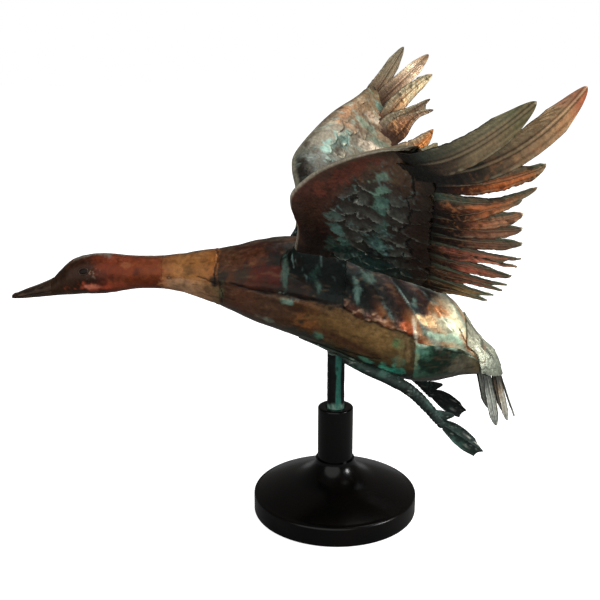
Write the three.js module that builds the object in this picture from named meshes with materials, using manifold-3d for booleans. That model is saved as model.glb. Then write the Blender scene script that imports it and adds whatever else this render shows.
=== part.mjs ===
// A flying duck of formed and soldered copper sheet, which turns on a spindle over a round black base.
// Millimetres. Origin: middle of the underside of the foot. The head points to -X, the tail to +X,
// +Z is up, and +Y is the bird's right side.
import * as THREE from 'three';
import Module from 'manifold-3d';
import { mergeVertices } from 'three/addons/utils/BufferGeometryUtils.js';

const wasm = await Module();
wasm.setup();

// Main sizes of the bird. The places in the tables below are given for a bird of the drawn sizes, and
// every one of them is stretched to these.
const birdLength = 542;
const wingspan = 811;
const drawnLength = 542;
const drawnSpan = 811;
const stretchX = birdLength / drawnLength;
const stretchY = wingspan / drawnSpan;

// General clearances and sheet gauges
const seam = 0.3; // open joint between two pieces that touch
const shellJoint = 0.5; // open joint between two shells of the body
const sheet = 1.2; // body sheet
const wingSheet = 1.0; // wing skins
const bladeThick = 1.2; // feather blades
const rib = 0.6; // raised quill on a blade
const turnedSides = 28; // sides of a turned piece

// Stand
const padThick = 2;
const padRecess = 1.2; // how far the felt sits up in the foot
const padRadius = 84;
const footRadius = 90.5;
const footRim = 19; // height of the upright rim
const footRimRound = 3;
const footTop = 62; // where the collar stands
const footNeck = 21.5; // radius of the foot under the collar
const footRoot = 47; // radius where the dome turns up into the neck
const footRootHeight = 38;
const domeRound = 0.25; // how far the dome bulges over a straight cone
const collarRadius = 19.4;
const collarTop = 122.8;
const collarEdge = 2; // rounding at the collar's mouth
const socketDepth = 16; // how far the post reaches into the collar
const socketSpare = 2; // how much deeper the socket is than that
const socketClear = 0.9; // running gap round the post
const spindleRadius = 4;
const spindleClear = 0.25;
const nutFlats = 13;
const nutHeight = 6.5;
const washerRadius = 11;
const washerThick = 1.6;
const nutPocket = 22; // radius of the pocket under the foot
const nutRecess = 15; // and its depth
const spindlePoint = 5; // length of the cone on the spindle's end
const spindleSink = 1.5; // how far above the felt its other end stays

// Post
const postRadius = 9.5;
const postWall = 1.5;
const postTop = 262;
const plugLength = 14;
const plugCup = 7; // depth of the cone that rides on the spindle's point
const saddleThick = 3;
const saddleWidth = 26;
const saddleDrop = 18; // how far below the post's top it holds the post

// Body sections, front to back: x, crown, belly, half width
const bodySections = [
  [-300, 268.5, 249.5, 10.5],
  [-291, 278, 250.5, 13],
  [-281, 287, 251, 15.5],
  [-269, 292.5, 251.5, 17],
  [-254, 295, 252, 18],
  [-240, 295, 253, 18],
  [-213, 292.7, 257.3, 17.3],
  [-183, 293, 257.5, 17.8],
  [-163, 294.8, 253.5, 20],
  [-142, 298, 246.3, 24],
  [-123, 300.6, 239.2, 28],
  [-103, 304.2, 229.5, 33],
  [-83, 309.8, 220.2, 37.5],
  [-63, 312.8, 213.2, 41],
  [-45, 313, 206.5, 43.5],
  [-23, 309.5, 197.8, 46],
  [0, 302, 186.5, 47.5],
  [24, 290, 174.5, 48],
  [55, 277, 163, 46.5],
  [77, 267.5, 156.5, 44],
  [99, 258.5, 154, 40],
  [121, 246.5, 157, 33],
  [133, 233.5, 160, 28],
  [144, 216, 161, 23.5],
  [152, 203, 161, 21],
];
const sleeveFront = -183; // neck sleeve begins
const collarJoint = -123; // neck sleeve ends, mantle and breast begin
const backFront = 5; // back with raised feather edges begins
const breastRear = 80; // breast ends, vent begins
const bodyRear = 152;
const beltAngle = Math.PI / 2; // where upper and lower shells meet
const ridgeStep = 33; // from one raised feather edge on the back to the next
const ridgeFirst = 4; // x where the first of them would cross the crown
const ridgeSweep = 40; // how much further back they lie per radian round the body
const ridgeHeight = 2.4;
const ridgeFade = 25; // length over which they rise at the front, and die out at the rear

// Bill
const billLength = 45;
const billTipWidth = 5.5;
const billTipDrop = 4.5; // how far the bill's underside falls to the tip
const billTipThick = 6.1;

// Eyes, measured on the left side of the head
const eyeX = -264;
const eyeAngle = 1.22;
const eyeLength = 11.5;
const eyeHeight = 6.5;
const eyeDome = 1.4;

// Belly plate under the breast
const bellyFront = -40;
const bellyRear = 74;
const bellySpread = 0.62; // half of its angle round the body
const bellyEnd = 0.04; // its ends are cut off at this share of a full bow
const bellyThick = 1.6;

// Tail: a sheet of coverts that starts on the body and curls down, with blades under its end
const covertOnBody = [136, 146]; // x of its rows that lie on the body
const covertSpread = 1.35; // its half angle there
const covertFalls = [
  // middle x and z, then the edge's x, half width and z
  [158, 200.5, 149.5, 26.5, 188],
  [170.5, 188, 151, 27.2, 182],
  [177, 174.5, 152, 27.4, 177],
  [181, 161, 153, 27.4, 171],
];
const tailGrip = 9; // how far a tail blade reaches up under the coverts
const tailHalf = 6.6;
const tailTips = [[197, 0, 111], [187, 12, 111], [172.5, 25, 110.5]]; // middle, next, outer (right side)
const tailPlaces = [0, 0.42, 0.84]; // where they leave the coverts' edge, as shares of its half width

// Legs, right side: x, lateral, z, half breadth, half height
const legRows = [
  [8, 17, 186, 6, 6],
  [31, 25, 176, 7, 6.5],
  [52, 31, 168, 6.8, 6.6],
  [70, 34.5, 159.5, 6.2, 6.4],
  [84, 37.5, 149.5, 5.8, 6.1],
  [98, 40.5, 135, 5.4, 5.6],
  [109, 42.5, 122.5, 5.2, 5.2],
];
const ankle = [110.5, 42.8, 120.5];
const ankleRadius = 6;
const footThick = 2.2;
const toeRidge = 1.2; // how far a toe stands out of the web at its root
const toeFade = 0.6; // and how much of that is lost at its tip
const toeTips = [[146, 50, 106], [154, 56, 94.5], [145, 52, 87.5]];
const toeStart = 0.04; // the toes start this share of their length from the ankle's middle
const toeRoots = 5; // how far apart they start
const toeBow = 4; // how far the outer toes bow outwards on their way
const webReach = 0.93; // how far the webs reach, as a share of the toes
const hindRoot = [105.5, 41.9, 128.5]; // hind toe, a flat fin on the leg's end
const hindTip = [123.5, 44.5, 130.5];
const hindRadius = 7;
const hindFlat = 0.4; // its breadth, as a share of its height

// Wing, right side (the left is its mirror image): leading edge, rear edge of the skins
const wingLead = [
  [-44, 42, 314],
  [-41, 62, 338],
  [-44, 80, 354],
  [-48, 100, 370],
  [-45, 117, 384],
  [-24, 146, 406],
  [0, 188, 423],
  [26, 226, 435],
  [42, 268, 441],
];
const wingRear = [
  [84, 56, 278],
  [83, 74, 292],
  [81, 96, 309],
  [78, 120, 328],
  [74, 146, 346],
  [70, 176, 366],
  [66, 212, 390],
  [62, 250, 415],
  [57, 287, 438],
];
const wingCamber = 9; // how far the skins arch above the chord
const rollRoot = 12; // half thickness of the rolled leading edge at the root
const rollHand = 3.4; // and at the hand

// Feather blades, from the hand to the body: where a blade starts between the skins (s, t), the tip or
// two tips it ends in, and its half width. The hand's blades bend towards a point of their own.
const blades = [
  { from: [0.86, 0.3], bend: [58, 331, 425], tips: [[104, 405, 489]], half: 12.5 },
  { from: [0.83, 0.55], bend: [89, 394, 431], tips: [[139, 388, 497]], half: 12 },
  { from: [0.79, 0.72], bend: [101, 314, 418], tips: [[129, 339, 441]], half: 10 },
  { from: [0.715, 0.74], tips: [[128, 322, 422], [126, 287, 407]], half: 11.5 },
  { from: [0.625, 0.74], tips: [[131, 269, 392]], half: 12 },
  { from: [0.55, 0.74], tips: [[135, 252, 377]], half: 12.5 },
  { from: [0.475, 0.74], tips: [[141, 230, 360]], half: 13 },
  { from: [0.385, 0.74], tips: [[146, 207, 341], [147, 190, 330]], half: 11 },
  { from: [0.29, 0.74], tips: [[148, 165, 315]], half: 13.5 },
  { from: [0.195, 0.74], tips: [[150, 141, 300], [151, 117, 288]], half: 11 },
  { from: [0.075, 0.74], tips: [[149, 88, 275], [148, 62, 262]], half: 11 },
];
// Some of the right wing's blades differ from the left wing's
const rightBlades = {
  2: { tips: [[137, 388, 480]] },
  3: { from: [0.79, 0.9], bend: [88, 280, 434], tips: [[136, 339, 456]], half: 12 },
  4: { from: [0.715, 0.9], bend: [94, 262, 413], tips: [[133, 322, 426], [133, 287, 415]] },
};
const bladeTilt = 0.13; // each blade tips over the next, in radians
const bladeAim = 0.45; // a blade leaves the skins between the chord's line, 0, and the line to its tip, 1
const bladeRoot = 0.75; // width between the skins, as a share of the widest
const bladeTaper = 0.6; // width near the tip, as a share of the widest
const tailTaper = 0.9;
const taperFrom = 0.4; // where along a blade the taper begins
const taperTo = 0.9; // and where it ends
const forkedFrom = 0.9; // from here on each finger of a forked blade follows its own line
// Columns of a blade: where each lies across it, and how far it reaches, which rounds the tip. A blade
// with two fingers has a quill in each, and a notch between them.
const bladeColumns = [[-1, 0.86], [-0.6, 0.96], [0, 1], [0.6, 0.96], [1, 0.86]];
const bladeNotch = 0.74;
const forkColumns = [
  [-1, 0.86],
  [-0.78, 0.96],
  [-0.5, 1],
  [0, bladeNotch],
  [0.5, 1],
  [0.78, 0.96],
  [1, 0.86],
];

// Shoulders: the hollow root between the body and each wing
const shoulderChord = 0.4; // share of the wing's root chord that it carries
const shoulderX = -24; // middle of its foot on the body
const shoulderAngle = 0.95; // and that middle's angle round the body
const shoulderLong = 34; // half length of the foot
const shoulderTurn = 0.5; // half its angle round the body
const shoulderSink = 3; // how far below the body's skin its wall is drawn, before it is cut off there

// Materials
const patina = (color, roughness) => new THREE.MeshStandardMaterial({ color, roughness, metalness: 0.8 });
const copper = {
  bill: patina(0x3a2a1e, 0.6),
  head: patina(0x7a4128, 0.5),
  sleeve: patina(0x99663c, 0.5),
  mantle: patina(0x5b3a2c, 0.55),
  breast: patina(0x8a5a3a, 0.5),
  belly: patina(0x33463c, 0.7),
  back: patina(0x6a4a38, 0.6),
  tail: patina(0xa3a690, 0.7),
  wing: patina(0x43342c, 0.6),
  feather: patina(0x8d5432, 0.55),
  leg: patina(0x35463f, 0.7),
  post: patina(0x2b3a33, 0.6),
};
const blackIron = new THREE.MeshStandardMaterial({ color: 0x12110f, roughness: 0.35, metalness: 0.2 });
const steel = new THREE.MeshStandardMaterial({ color: 0x8c9094, roughness: 0.4, metalness: 1 });
const brass = new THREE.MeshStandardMaterial({ color: 0xb08d4a, roughness: 0.4, metalness: 1 });
const felt = new THREE.MeshStandardMaterial({ color: 0x1b1c1a, roughness: 1, metalness: 0 });

const duck = new THREE.Group();
function add(name, geometry, material) {
  const mesh = new THREE.Mesh(geometry, material);
  mesh.name = name;
  duck.add(mesh);
}

const V = (x, y, z) => new THREE.Vector3(x, y, z);
// A place from one of the tables, stretched to the bird's main sizes
const placed = ([x, y, z]) => V(x * stretchX, y * stretchY, z);
const mix = (a, b, k) => a + (b - a) * k;
const ease = (k) => k * k * (3 - 2 * k);
const clamp01 = (k) => Math.min(1, Math.max(0, k));

// A smooth curve through rows of numbers (uniform Catmull-Rom); t runs from 0 to 1 over the list
function through(rows, t) {
  const last = rows.length - 1;
  const place = Math.min(Math.max(t, 0), 1) * last;
  const i = Math.min(Math.floor(place), last - 1);
  const k = place - i;
  const a = rows[Math.max(i - 1, 0)];
  const b = rows[i];
  const c = rows[i + 1];
  const d = rows[Math.min(i + 2, last)];
  return b.map((_, n) => {
    const slopeIn = (c[n] - a[n]) / 2;
    const slopeOut = (d[n] - b[n]) / 2;
    const rise = c[n] - b[n];
    const square = 3 * rise - 2 * slopeIn - slopeOut;
    const cube = slopeIn + slopeOut - 2 * rise;
    return b[n] + k * (slopeIn + k * (square + k * cube));
  });
}

// A geometry from corner points and triangles, with its faces turned outwards
function solid(points, triangles) {
  let volume = 0;
  for (const [a, b, c] of triangles) volume += points[a].dot(points[b].clone().cross(points[c]));
  const index = triangles.flatMap(([a, b, c]) => (volume < 0 ? [a, c, b] : [a, b, c]));
  const geometry = new THREE.BufferGeometry();
  const flat = points.flatMap((p) => p.toArray());
  geometry.setAttribute('position', new THREE.Float32BufferAttribute(flat, 3));
  geometry.setIndex(index);
  return geometry;
}

// A closed plate between two grids of points, face[row][column] over back[row][column]
function plate(face, back) {
  const rows = face.length;
  const cols = face[0].length;
  const points = [...face.flat(), ...back.flat()];
  const at = (side, i, j) => side * rows * cols + i * cols + j;
  const triangles = [];
  const quad = (a, b, c, d) => triangles.push([a, b, c], [a, c, d]);
  for (let i = 0; i < rows - 1; i += 1) {
    for (let j = 0; j < cols - 1; j += 1) {
      quad(at(0, i, j), at(0, i + 1, j), at(0, i + 1, j + 1), at(0, i, j + 1));
      quad(at(1, i, j), at(1, i, j + 1), at(1, i + 1, j + 1), at(1, i + 1, j));
    }
    quad(at(0, i, 0), at(1, i, 0), at(1, i + 1, 0), at(0, i + 1, 0));
    quad(at(0, i, cols - 1), at(0, i + 1, cols - 1), at(1, i + 1, cols - 1), at(1, i, cols - 1));
  }
  for (let j = 0; j < cols - 1; j += 1) {
    quad(at(0, 0, j), at(0, 0, j + 1), at(1, 0, j + 1), at(1, 0, j));
    quad(at(0, rows - 1, j), at(1, rows - 1, j), at(1, rows - 1, j + 1), at(0, rows - 1, j + 1));
  }
  return solid(points, triangles);
}

// A closed solid through rings of points, with a flat cap at each end, or joined end to end as a hollow
function loft(rings, hollow = false) {
  const n = rings[0].length;
  const middle = (ring) => ring.reduce((sum, p) => sum.add(p), V(0, 0, 0)).divideScalar(n);
  const points = rings.flat();
  const triangles = [];
  const last = rings.length - 1;
  for (let j = 0; j < n; j += 1) {
    const k = (j + 1) % n;
    for (let i = 0; i < rings.length - (hollow ? 0 : 1); i += 1) {
      const a = i * n;
      const b = ((i + 1) % rings.length) * n;
      triangles.push([a + j, a + k, b + k], [a + j, b + k, b + j]);
    }
    if (!hollow) triangles.push([points.length, k, j], [points.length + 1, last * n + j, last * n + k]);
  }
  if (!hollow) points.push(middle(rings[0]), middle(rings[last]));
  return solid(points, triangles);
}

// Turned pieces: an outline of [radius, height] that starts and ends on the axis or closes on itself
function turned(outline) {
  const geometry = new THREE.LatheGeometry(outline.map(([r, z]) => new THREE.Vector2(r, z)), turnedSides);
  return geometry.rotateX(Math.PI / 2);
}
const rod = (radius, low, high) => turned([[0, low], [radius, low], [radius, high], [0, high]]);
const pipe = (outer, inner, low, high) =>
  turned([[inner, low], [outer, low], [outer, high], [inner, high], [inner, low]]);

// Joining and cutting
function body3(geometry) {
  const bare = geometry.clone();
  for (const name of Object.keys(bare.attributes)) if (name !== 'position') bare.deleteAttribute(name);
  const merged = mergeVertices(bare, 1e-4);
  const mesh = new wasm.Mesh({
    numProp: 3,
    vertProperties: new Float32Array(merged.attributes.position.array),
    triVerts: new Uint32Array(merged.index.array),
  });
  return new wasm.Manifold(mesh);
}
function geometryOf(manifold) {
  const mesh = manifold.getMesh();
  const geometry = new THREE.BufferGeometry();
  geometry.setAttribute('position', new THREE.Float32BufferAttribute(mesh.vertProperties, 3));
  geometry.setIndex([...mesh.triVerts]);
  return geometry;
}
// What is left of a geometry after the tools' cuts, without the slivers that a cut leaves loose
function cut(geometry, ...tools) {
  const left = tools.reduce((solid3, tool) => solid3.subtract(body3(tool)), body3(geometry));
  return geometryOf(left.decompose().reduce((a, b) => (b.volume() > a.volume() ? b : a)));
}
const join = (first, ...others) =>
  geometryOf(others.reduce((sum, other) => sum.add(body3(other)), body3(first)));
const meet = (geometry, tool) => geometryOf(body3(geometry).intersect(body3(tool)));

// Stand: felt, foot, collar, spindle with washer and nut

function stand() {
  const under = padThick - padRecess; // height of the foot's rim over the table
  add('felt_pad', rod(padRadius, 0, padThick), felt);

  const pocketTop = padThick + seam + nutRecess;
  const bore = spindleRadius + spindleClear;
  const rimTop = under + footRim;
  const outline = [[bore, pocketTop], [nutPocket, pocketTop], [nutPocket, padThick + seam]];
  outline.push([padRadius + seam, padThick + seam], [padRadius + seam, under], [footRadius - 1, under]);
  outline.push([footRadius, under + 1], [footRadius, rimTop]);
  for (let i = 1; i <= 2; i += 1) {
    const a = (i / 2) * (Math.PI / 2);
    outline.push([footRadius - footRimRound * (1 - Math.cos(a)), rimTop + footRimRound * Math.sin(a)]);
  }
  const domeFoot = rimTop + footRimRound;
  const edge = footRadius - footRimRound;
  for (let i = 1; i <= 2; i += 1) {
    const k = i / 2;
    const height = mix(domeFoot, footRootHeight, k * (1 + domeRound - domeRound * k));
    outline.push([mix(edge, footRoot, k), height]);
  }
  // The neck's hollow starts with the slope that the dome ends with, and ends upright
  const neckRun = footRoot - footNeck;
  const slope = ((footRootHeight - domeFoot) * (1 - domeRound)) / (edge - footRoot);
  const neckRise = footTop - footRootHeight - slope * neckRun;
  for (let i = 1; i <= 5; i += 1) {
    const a = (i / 5) * (Math.PI / 2);
    const height = footRootHeight + slope * neckRun * Math.sin(a) + neckRise * (1 - Math.cos(a));
    outline.push([footRoot - neckRun * Math.sin(a), height]);
  }
  outline.push([bore, footTop], [bore, pocketTop]);
  add('stand_foot', turned(outline), blackIron);

  const collarFoot = footTop + seam;
  const socketFloor = collarTop - socketDepth - socketSpare;
  const socket = postRadius + socketClear;
  const mouth = [[bore, collarFoot], [collarRadius, collarFoot], [collarRadius, collarTop - collarEdge]];
  mouth.push([collarRadius - collarEdge * 0.3, collarTop - collarEdge * 0.3]);
  mouth.push([collarRadius - collarEdge, collarTop]);
  mouth.push([socket + collarEdge, collarTop], [socket, collarTop - collarEdge], [socket, socketFloor]);
  mouth.push([bore, socketFloor], [bore, collarFoot]);
  add('stand_collar', turned(mouth), blackIron);

  const washerTop = pocketTop - seam;
  const nutTop = washerTop - washerThick - seam;
  add('spindle_washer', pipe(washerRadius, bore, washerTop - washerThick, washerTop), steel);
  const hexagon = new THREE.Shape();
  for (let i = 0; i < 6; i += 1) {
    const a = (i * Math.PI) / 3;
    const corner = nutFlats / 2 / Math.cos(Math.PI / 6);
    if (i === 0) hexagon.moveTo(corner, 0);
    else hexagon.lineTo(corner * Math.cos(a), corner * Math.sin(a));
  }
  hexagon.closePath();
  hexagon.holes.push(new THREE.Path().absarc(0, 0, bore, 0, Math.PI * 2, true));
  const settings = { depth: nutHeight, bevelEnabled: false, curveSegments: 12 };
  const nut = new THREE.ExtrudeGeometry(hexagon, settings);
  add('spindle_nut', nut.translate(0, 0, nutTop - nutHeight), steel);
}

const plugLow = postTop - plugLength;
const spindleTop = plugLow + plugCup - seam; // the point stands just under the bottom of the plug's cup
function spindle() {
  const low = padThick + seam + spindleSink;
  const shoulder = spindleTop - spindlePoint;
  const outline = [[0, low], [spindleRadius, low], [spindleRadius, shoulder], [0, spindleTop]];
  add('spindle_rod', turned(outline), steel);
}

// Post: tube, bearing plug in its head, saddle that holds it to the mantle

function post() {
  add('post_tube', pipe(postRadius, postRadius - postWall, collarTop - socketDepth, postTop), copper.post);
  const plugRadius = postRadius - postWall - seam;
  const cup = spindleRadius + spindleClear;
  const outline = [[0, plugLow + plugCup], [cup, plugLow + plugCup - spindlePoint], [cup, plugLow]];
  outline.push([plugRadius, plugLow], [plugRadius, postTop - seam], [0, postTop - seam]);
  add('bearing_plug', turned(outline), brass);
}
function saddle() {
  const { half } = sectionAt(alongBody(0));
  const height = postTop - saddleDrop;
  const strap = new THREE.BoxGeometry(saddleWidth, 2.5 * half, saddleThick).translate(0, 0, height);
  const inside = bodyTool(-sheet - 2 * seam);
  const hole = rod(postRadius + seam, height - saddleThick, height + saddleThick);
  add('post_saddle', cut(meet(strap, inside), hole), brass);
}

// Body skin: a point at t along the sections and at an angle round them, 0 at the crown, growing to +Y

function sectionAt(t) {
  const [drawnX, crown, belly, half] = through(bodySections, t);
  return { x: drawnX * stretchX, crown, belly, half: half * stretchY, drawnX };
}
// The place along the body of an x from the tables
function alongBody(drawnX) {
  let low = 0;
  let high = 1;
  for (let i = 0; i < 40; i += 1) {
    const middle = (low + high) / 2;
    if (sectionAt(middle).drawnX < drawnX) low = middle;
    else high = middle;
  }
  return (low + high) / 2;
}
function skin(t, angle) {
  const { x, crown, belly, half } = sectionAt(t);
  const middle = (crown + belly) / 2;
  const tall = (crown - belly) / 2;
  return V(x, half * Math.sin(angle), middle + tall * Math.cos(angle));
}
function skinNormal(t, angle) {
  const step = 1e-3;
  const along = skin(Math.min(t + step, 1), angle).sub(skin(Math.max(t - step, 0), angle));
  const round = skin(t, angle + step).sub(skin(t, angle - step));
  return along.cross(round).normalize();
}
const offSkin = (t, angle, distance) => skin(t, angle).addScaledVector(skinNormal(t, angle), distance);

// A shell of the body between two x places and two angles; relief(x, angle) raises its outer face
function bodyShell(fromX, toX, fromAngle, toAngle, rows, cols, relief = () => 0) {
  const face = [];
  const back = [];
  const start = alongBody(fromX + shellJoint / 2);
  const end = alongBody(toX - shellJoint / 2);
  for (let i = 0; i <= rows; i += 1) {
    const t = mix(start, end, i / rows);
    const edge = shellJoint / 2 / sectionAt(t).half;
    const outer = [];
    const inner = [];
    for (let j = 0; j <= cols; j += 1) {
      const angle = mix(fromAngle + edge, toAngle - edge, j / cols);
      outer.push(offSkin(t, angle, relief(sectionAt(t).drawnX, angle)));
      inner.push(offSkin(t, angle, -sheet));
    }
    face.push(outer);
    back.push(inner);
  }
  return plate(face, back);
}

// The whole body as one closed solid, grown by a little, to cut what is fitted against it
function bodyTool(growth) {
  const rings = [];
  const rows = 36;
  const cols = 64;
  for (let i = 0; i <= rows; i += 1) {
    const t = mix(alongBody(sleeveFront), 1, i / rows);
    const ring = [];
    for (let j = 0; j < cols; j += 1) {
      const angle = mix(-Math.PI, Math.PI, j / cols);
      const raised = growth > 0 && Math.abs(angle) < beltAngle;
      const relief = raised ? ridgeHeight * ridgeShare(sectionAt(t).drawnX) : 0;
      ring.push(offSkin(t, angle, growth + relief));
    }
    rings.push(ring);
  }
  return loft(rings);
}

// Raised feather edges sweep down and back over the back: crisp edges with round hollows between them
const ridgeShare = (x) => clamp01((x - backFront) / ridgeFade) * clamp01((covertOnBody[0] - x) / ridgeFade);
function ridged(x, angle) {
  const place = (x - ridgeFirst - ridgeSweep * Math.abs(angle)) / ridgeStep;
  const low = clamp01(4 * (1 - Math.abs(angle) / beltAngle));
  return ridgeHeight * ridgeShare(x) * low * (1 - Math.abs(Math.sin(place * Math.PI)));
}

function head() {
  const front = bodySections[0][0];
  add('head_right', bodyShell(front, sleeveFront, 0, Math.PI, 11, 8), copper.head);
  add('head_left', bodyShell(front, sleeveFront, -Math.PI, 0, 11, 8), copper.head);

  const root = sectionAt(0);
  const base = (root.crown + root.belly) / 2;
  const rings = [];
  for (let i = 0; i <= 6; i += 1) {
    const k = i / 6;
    const x = root.x - seam / 2 - k * billLength;
    const half = mix(root.half, billTipWidth, k ** 0.8) * (i === 6 ? 0.7 : 1);
    const top = mix(root.crown, root.belly - billTipDrop + billTipThick, k ** 0.85);
    const low = root.belly - billTipDrop * k + (i === 6 ? 0.6 : 0);
    const ring = [];
    for (let j = 0; j < 16; j += 1) {
      const a = (j / 16) * Math.PI * 2;
      const height = (top + low) / 2 + ((top - low) / 2) * Math.cos(a);
      ring.push(V(x, half * Math.sin(a), height));
    }
    rings.push(ring);
  }
  add('bill', loft(rings), copper.bill);

  for (const [name, side] of [['eye_right', 1], ['eye_left', -1]]) {
    const t = alongBody(eyeX);
    const seat = side * eyeAngle;
    const girth = sectionAt(t).half;
    const length = sectionAt(t + 0.01).x - sectionAt(t - 0.01).x; // of a fiftieth of the sections
    const rise = [];
    const flat = [];
    const point = (r, a, lift) => {
      const dt = ((eyeLength / 2) * r * Math.cos(a) * 0.02) / length;
      const da = ((eyeHeight / 2) * r * Math.sin(a)) / girth;
      return offSkin(t + dt, seat + da, lift);
    };
    for (let j = 0; j < 12; j += 1) {
      const a = (j / 12) * Math.PI * 2;
      rise.push([1, 0.7, 0.35].map((r) => point(r, a, seam + eyeDome * (1 - 0.8 * r * r))));
      flat.push([1, 0.5].map((r) => point(r, a, seam)));
    }
    const ringOf = (list, k) => list.map((row) => row[k]);
    const rings = [ringOf(flat, 1), ringOf(flat, 0), ringOf(rise, 0), ringOf(rise, 1), ringOf(rise, 2)];
    add(name, loft(rings), copper.bill);
  }
}

function neckAndBody() {
  const postHole = rod(postRadius + seam, collarTop, postTop - plugLength);
  add('sleeve_upper', bodyShell(sleeveFront, collarJoint, -beltAngle, beltAngle, 4, 10), copper.sleeve);
  const underneath = 2 * Math.PI - beltAngle;
  add('sleeve_lower', bodyShell(sleeveFront, collarJoint, beltAngle, underneath, 4, 10), copper.sleeve);
  add('mantle_shell', bodyShell(collarJoint, backFront, -beltAngle, beltAngle, 9, 12), copper.mantle);
  const breast = bodyShell(collarJoint, breastRear, beltAngle, underneath, 10, 12);
  add('breast_shell', cut(breast, postHole), copper.breast);
  add('back_right', bodyShell(backFront, bodyRear, 0, beltAngle, 24, 10, ridged), copper.back);
  add('back_left', bodyShell(backFront, bodyRear, -beltAngle, 0, 24, 10, ridged), copper.back);
  add('vent_shell', bodyShell(breastRear, bodyRear, beltAngle, underneath, 6, 10), copper.belly);

  const face = [];
  const back = [];
  for (let i = 0; i <= 9; i += 1) {
    const k = i / 9;
    const t = alongBody(mix(bellyFront, bellyRear, k));
    const full = Math.sin(Math.PI * mix(bellyEnd, 1 - bellyEnd, k));
    const spread = bellySpread * full ** 0.7;
    const thick = bellyThick * mix(0.5, 1, full);
    const outer = [];
    const inner = [];
    for (let j = 0; j <= 8; j += 1) {
      const angle = Math.PI + mix(-spread, spread, j / 8);
      outer.push(offSkin(t, angle, 2 * seam + thick));
      inner.push(offSkin(t, angle, 2 * seam));
    }
    face.push(outer);
    back.push(inner);
  }
  add('belly_plate', cut(plate(face, back), postHole), copper.belly);
}

// A feather blade: from `start` it bends by way of `knee` to its one or two tips, with `up` its upper side.
// It is narrow for the first share `held` of its length, and leans sideways by `tilt` beyond that.
// `growth` makes it larger all round, to cut what lies beside it.

function blade({ start, knee, up, tips, half, held, tilt, taper }, growth = 0) {
  const rows = 6;
  const spine = (tip, k) => {
    const first = start.clone().lerp(knee, k);
    return first.lerp(knee.clone().lerp(tip, k), k);
  };
  const middleTip = tips[0].clone().add(tips[tips.length - 1]).multiplyScalar(0.5);
  const forked = tips.length > 1;
  const stretch = 1 + growth / start.distanceTo(middleTip);
  const columns = forked ? forkColumns : bladeColumns;
  const face = [];
  const back = [];
  for (let i = 0; i <= rows; i += 1) {
    const outer = [];
    const inner = [];
    for (const [across, reach] of columns) {
      const k = (i / rows) * reach * stretch;
      const free = ease(clamp01((k - held) / 0.3));
      const tapered = mix(1, taper, clamp01((k - taperFrom) / (taperTo - taperFrom)));
      const width = half * mix(bladeRoot, 1, free) * tapered + 2 * growth;
      const run = spine(middleTip, k + 0.05).sub(spine(middleTip, k - 0.05)).normalize();
      const side = run.clone().cross(up).normalize();
      const lift = side.clone().cross(run);
      side.applyAxisAngle(run, tilt * free);
      let place = spine(middleTip, k);
      if (!forked) place.addScaledVector(side, across * width);
      else if (across !== 0) {
        const spread = place.addScaledVector(side, across * 2 * width * (1 - k * 0.15));
        const inFinger = (across - Math.sign(across) / 2) * width;
        const finger = spine(tips[across < 0 ? 0 : 1], k).addScaledVector(side, inFinger);
        place = spread.lerp(finger, ease(clamp01((k - held) / (forkedFrom - held))));
      }
      const onQuill = Math.abs(across) === (forked ? 0.5 : 0);
      const quill = onQuill ? rib * free * (1 - i / rows) : 0;
      outer.push(place.clone().addScaledVector(lift, bladeThick / 2 + quill + growth));
      inner.push(place.clone().addScaledVector(lift, -bladeThick / 2 - growth));
    }
    face.push(outer);
    back.push(inner);
  }
  return plate(face, back);
}

// Wing: the middle surface between the skins, s from body to hand and t from leading to rear edge

const leadAt = (s) => placed(through(wingLead, s));
const rearAt = (s) => placed(through(wingRear, s));
function wingUp(s) {
  const step = 0.01;
  const chord = rearAt(s).sub(leadAt(s));
  const a = Math.min(s + step, 1);
  const b = Math.max(s - step, 0);
  const span = leadAt(a).add(rearAt(a)).sub(leadAt(b)).sub(rearAt(b));
  return chord.cross(span).normalize();
}
// The arch is all in the front seven tenths of the chord, so that the blades leave the skins straight
const archEnd = 0.7;
function wingMiddle(s, t) {
  const front = t < archEnd ? 6.75 * (t / archEnd) * (1 - t / archEnd) ** 2 : 0;
  return leadAt(s).lerp(rearAt(s), t).addScaledVector(wingUp(s), wingCamber * front * mix(1, 0.5, s));
}
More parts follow.
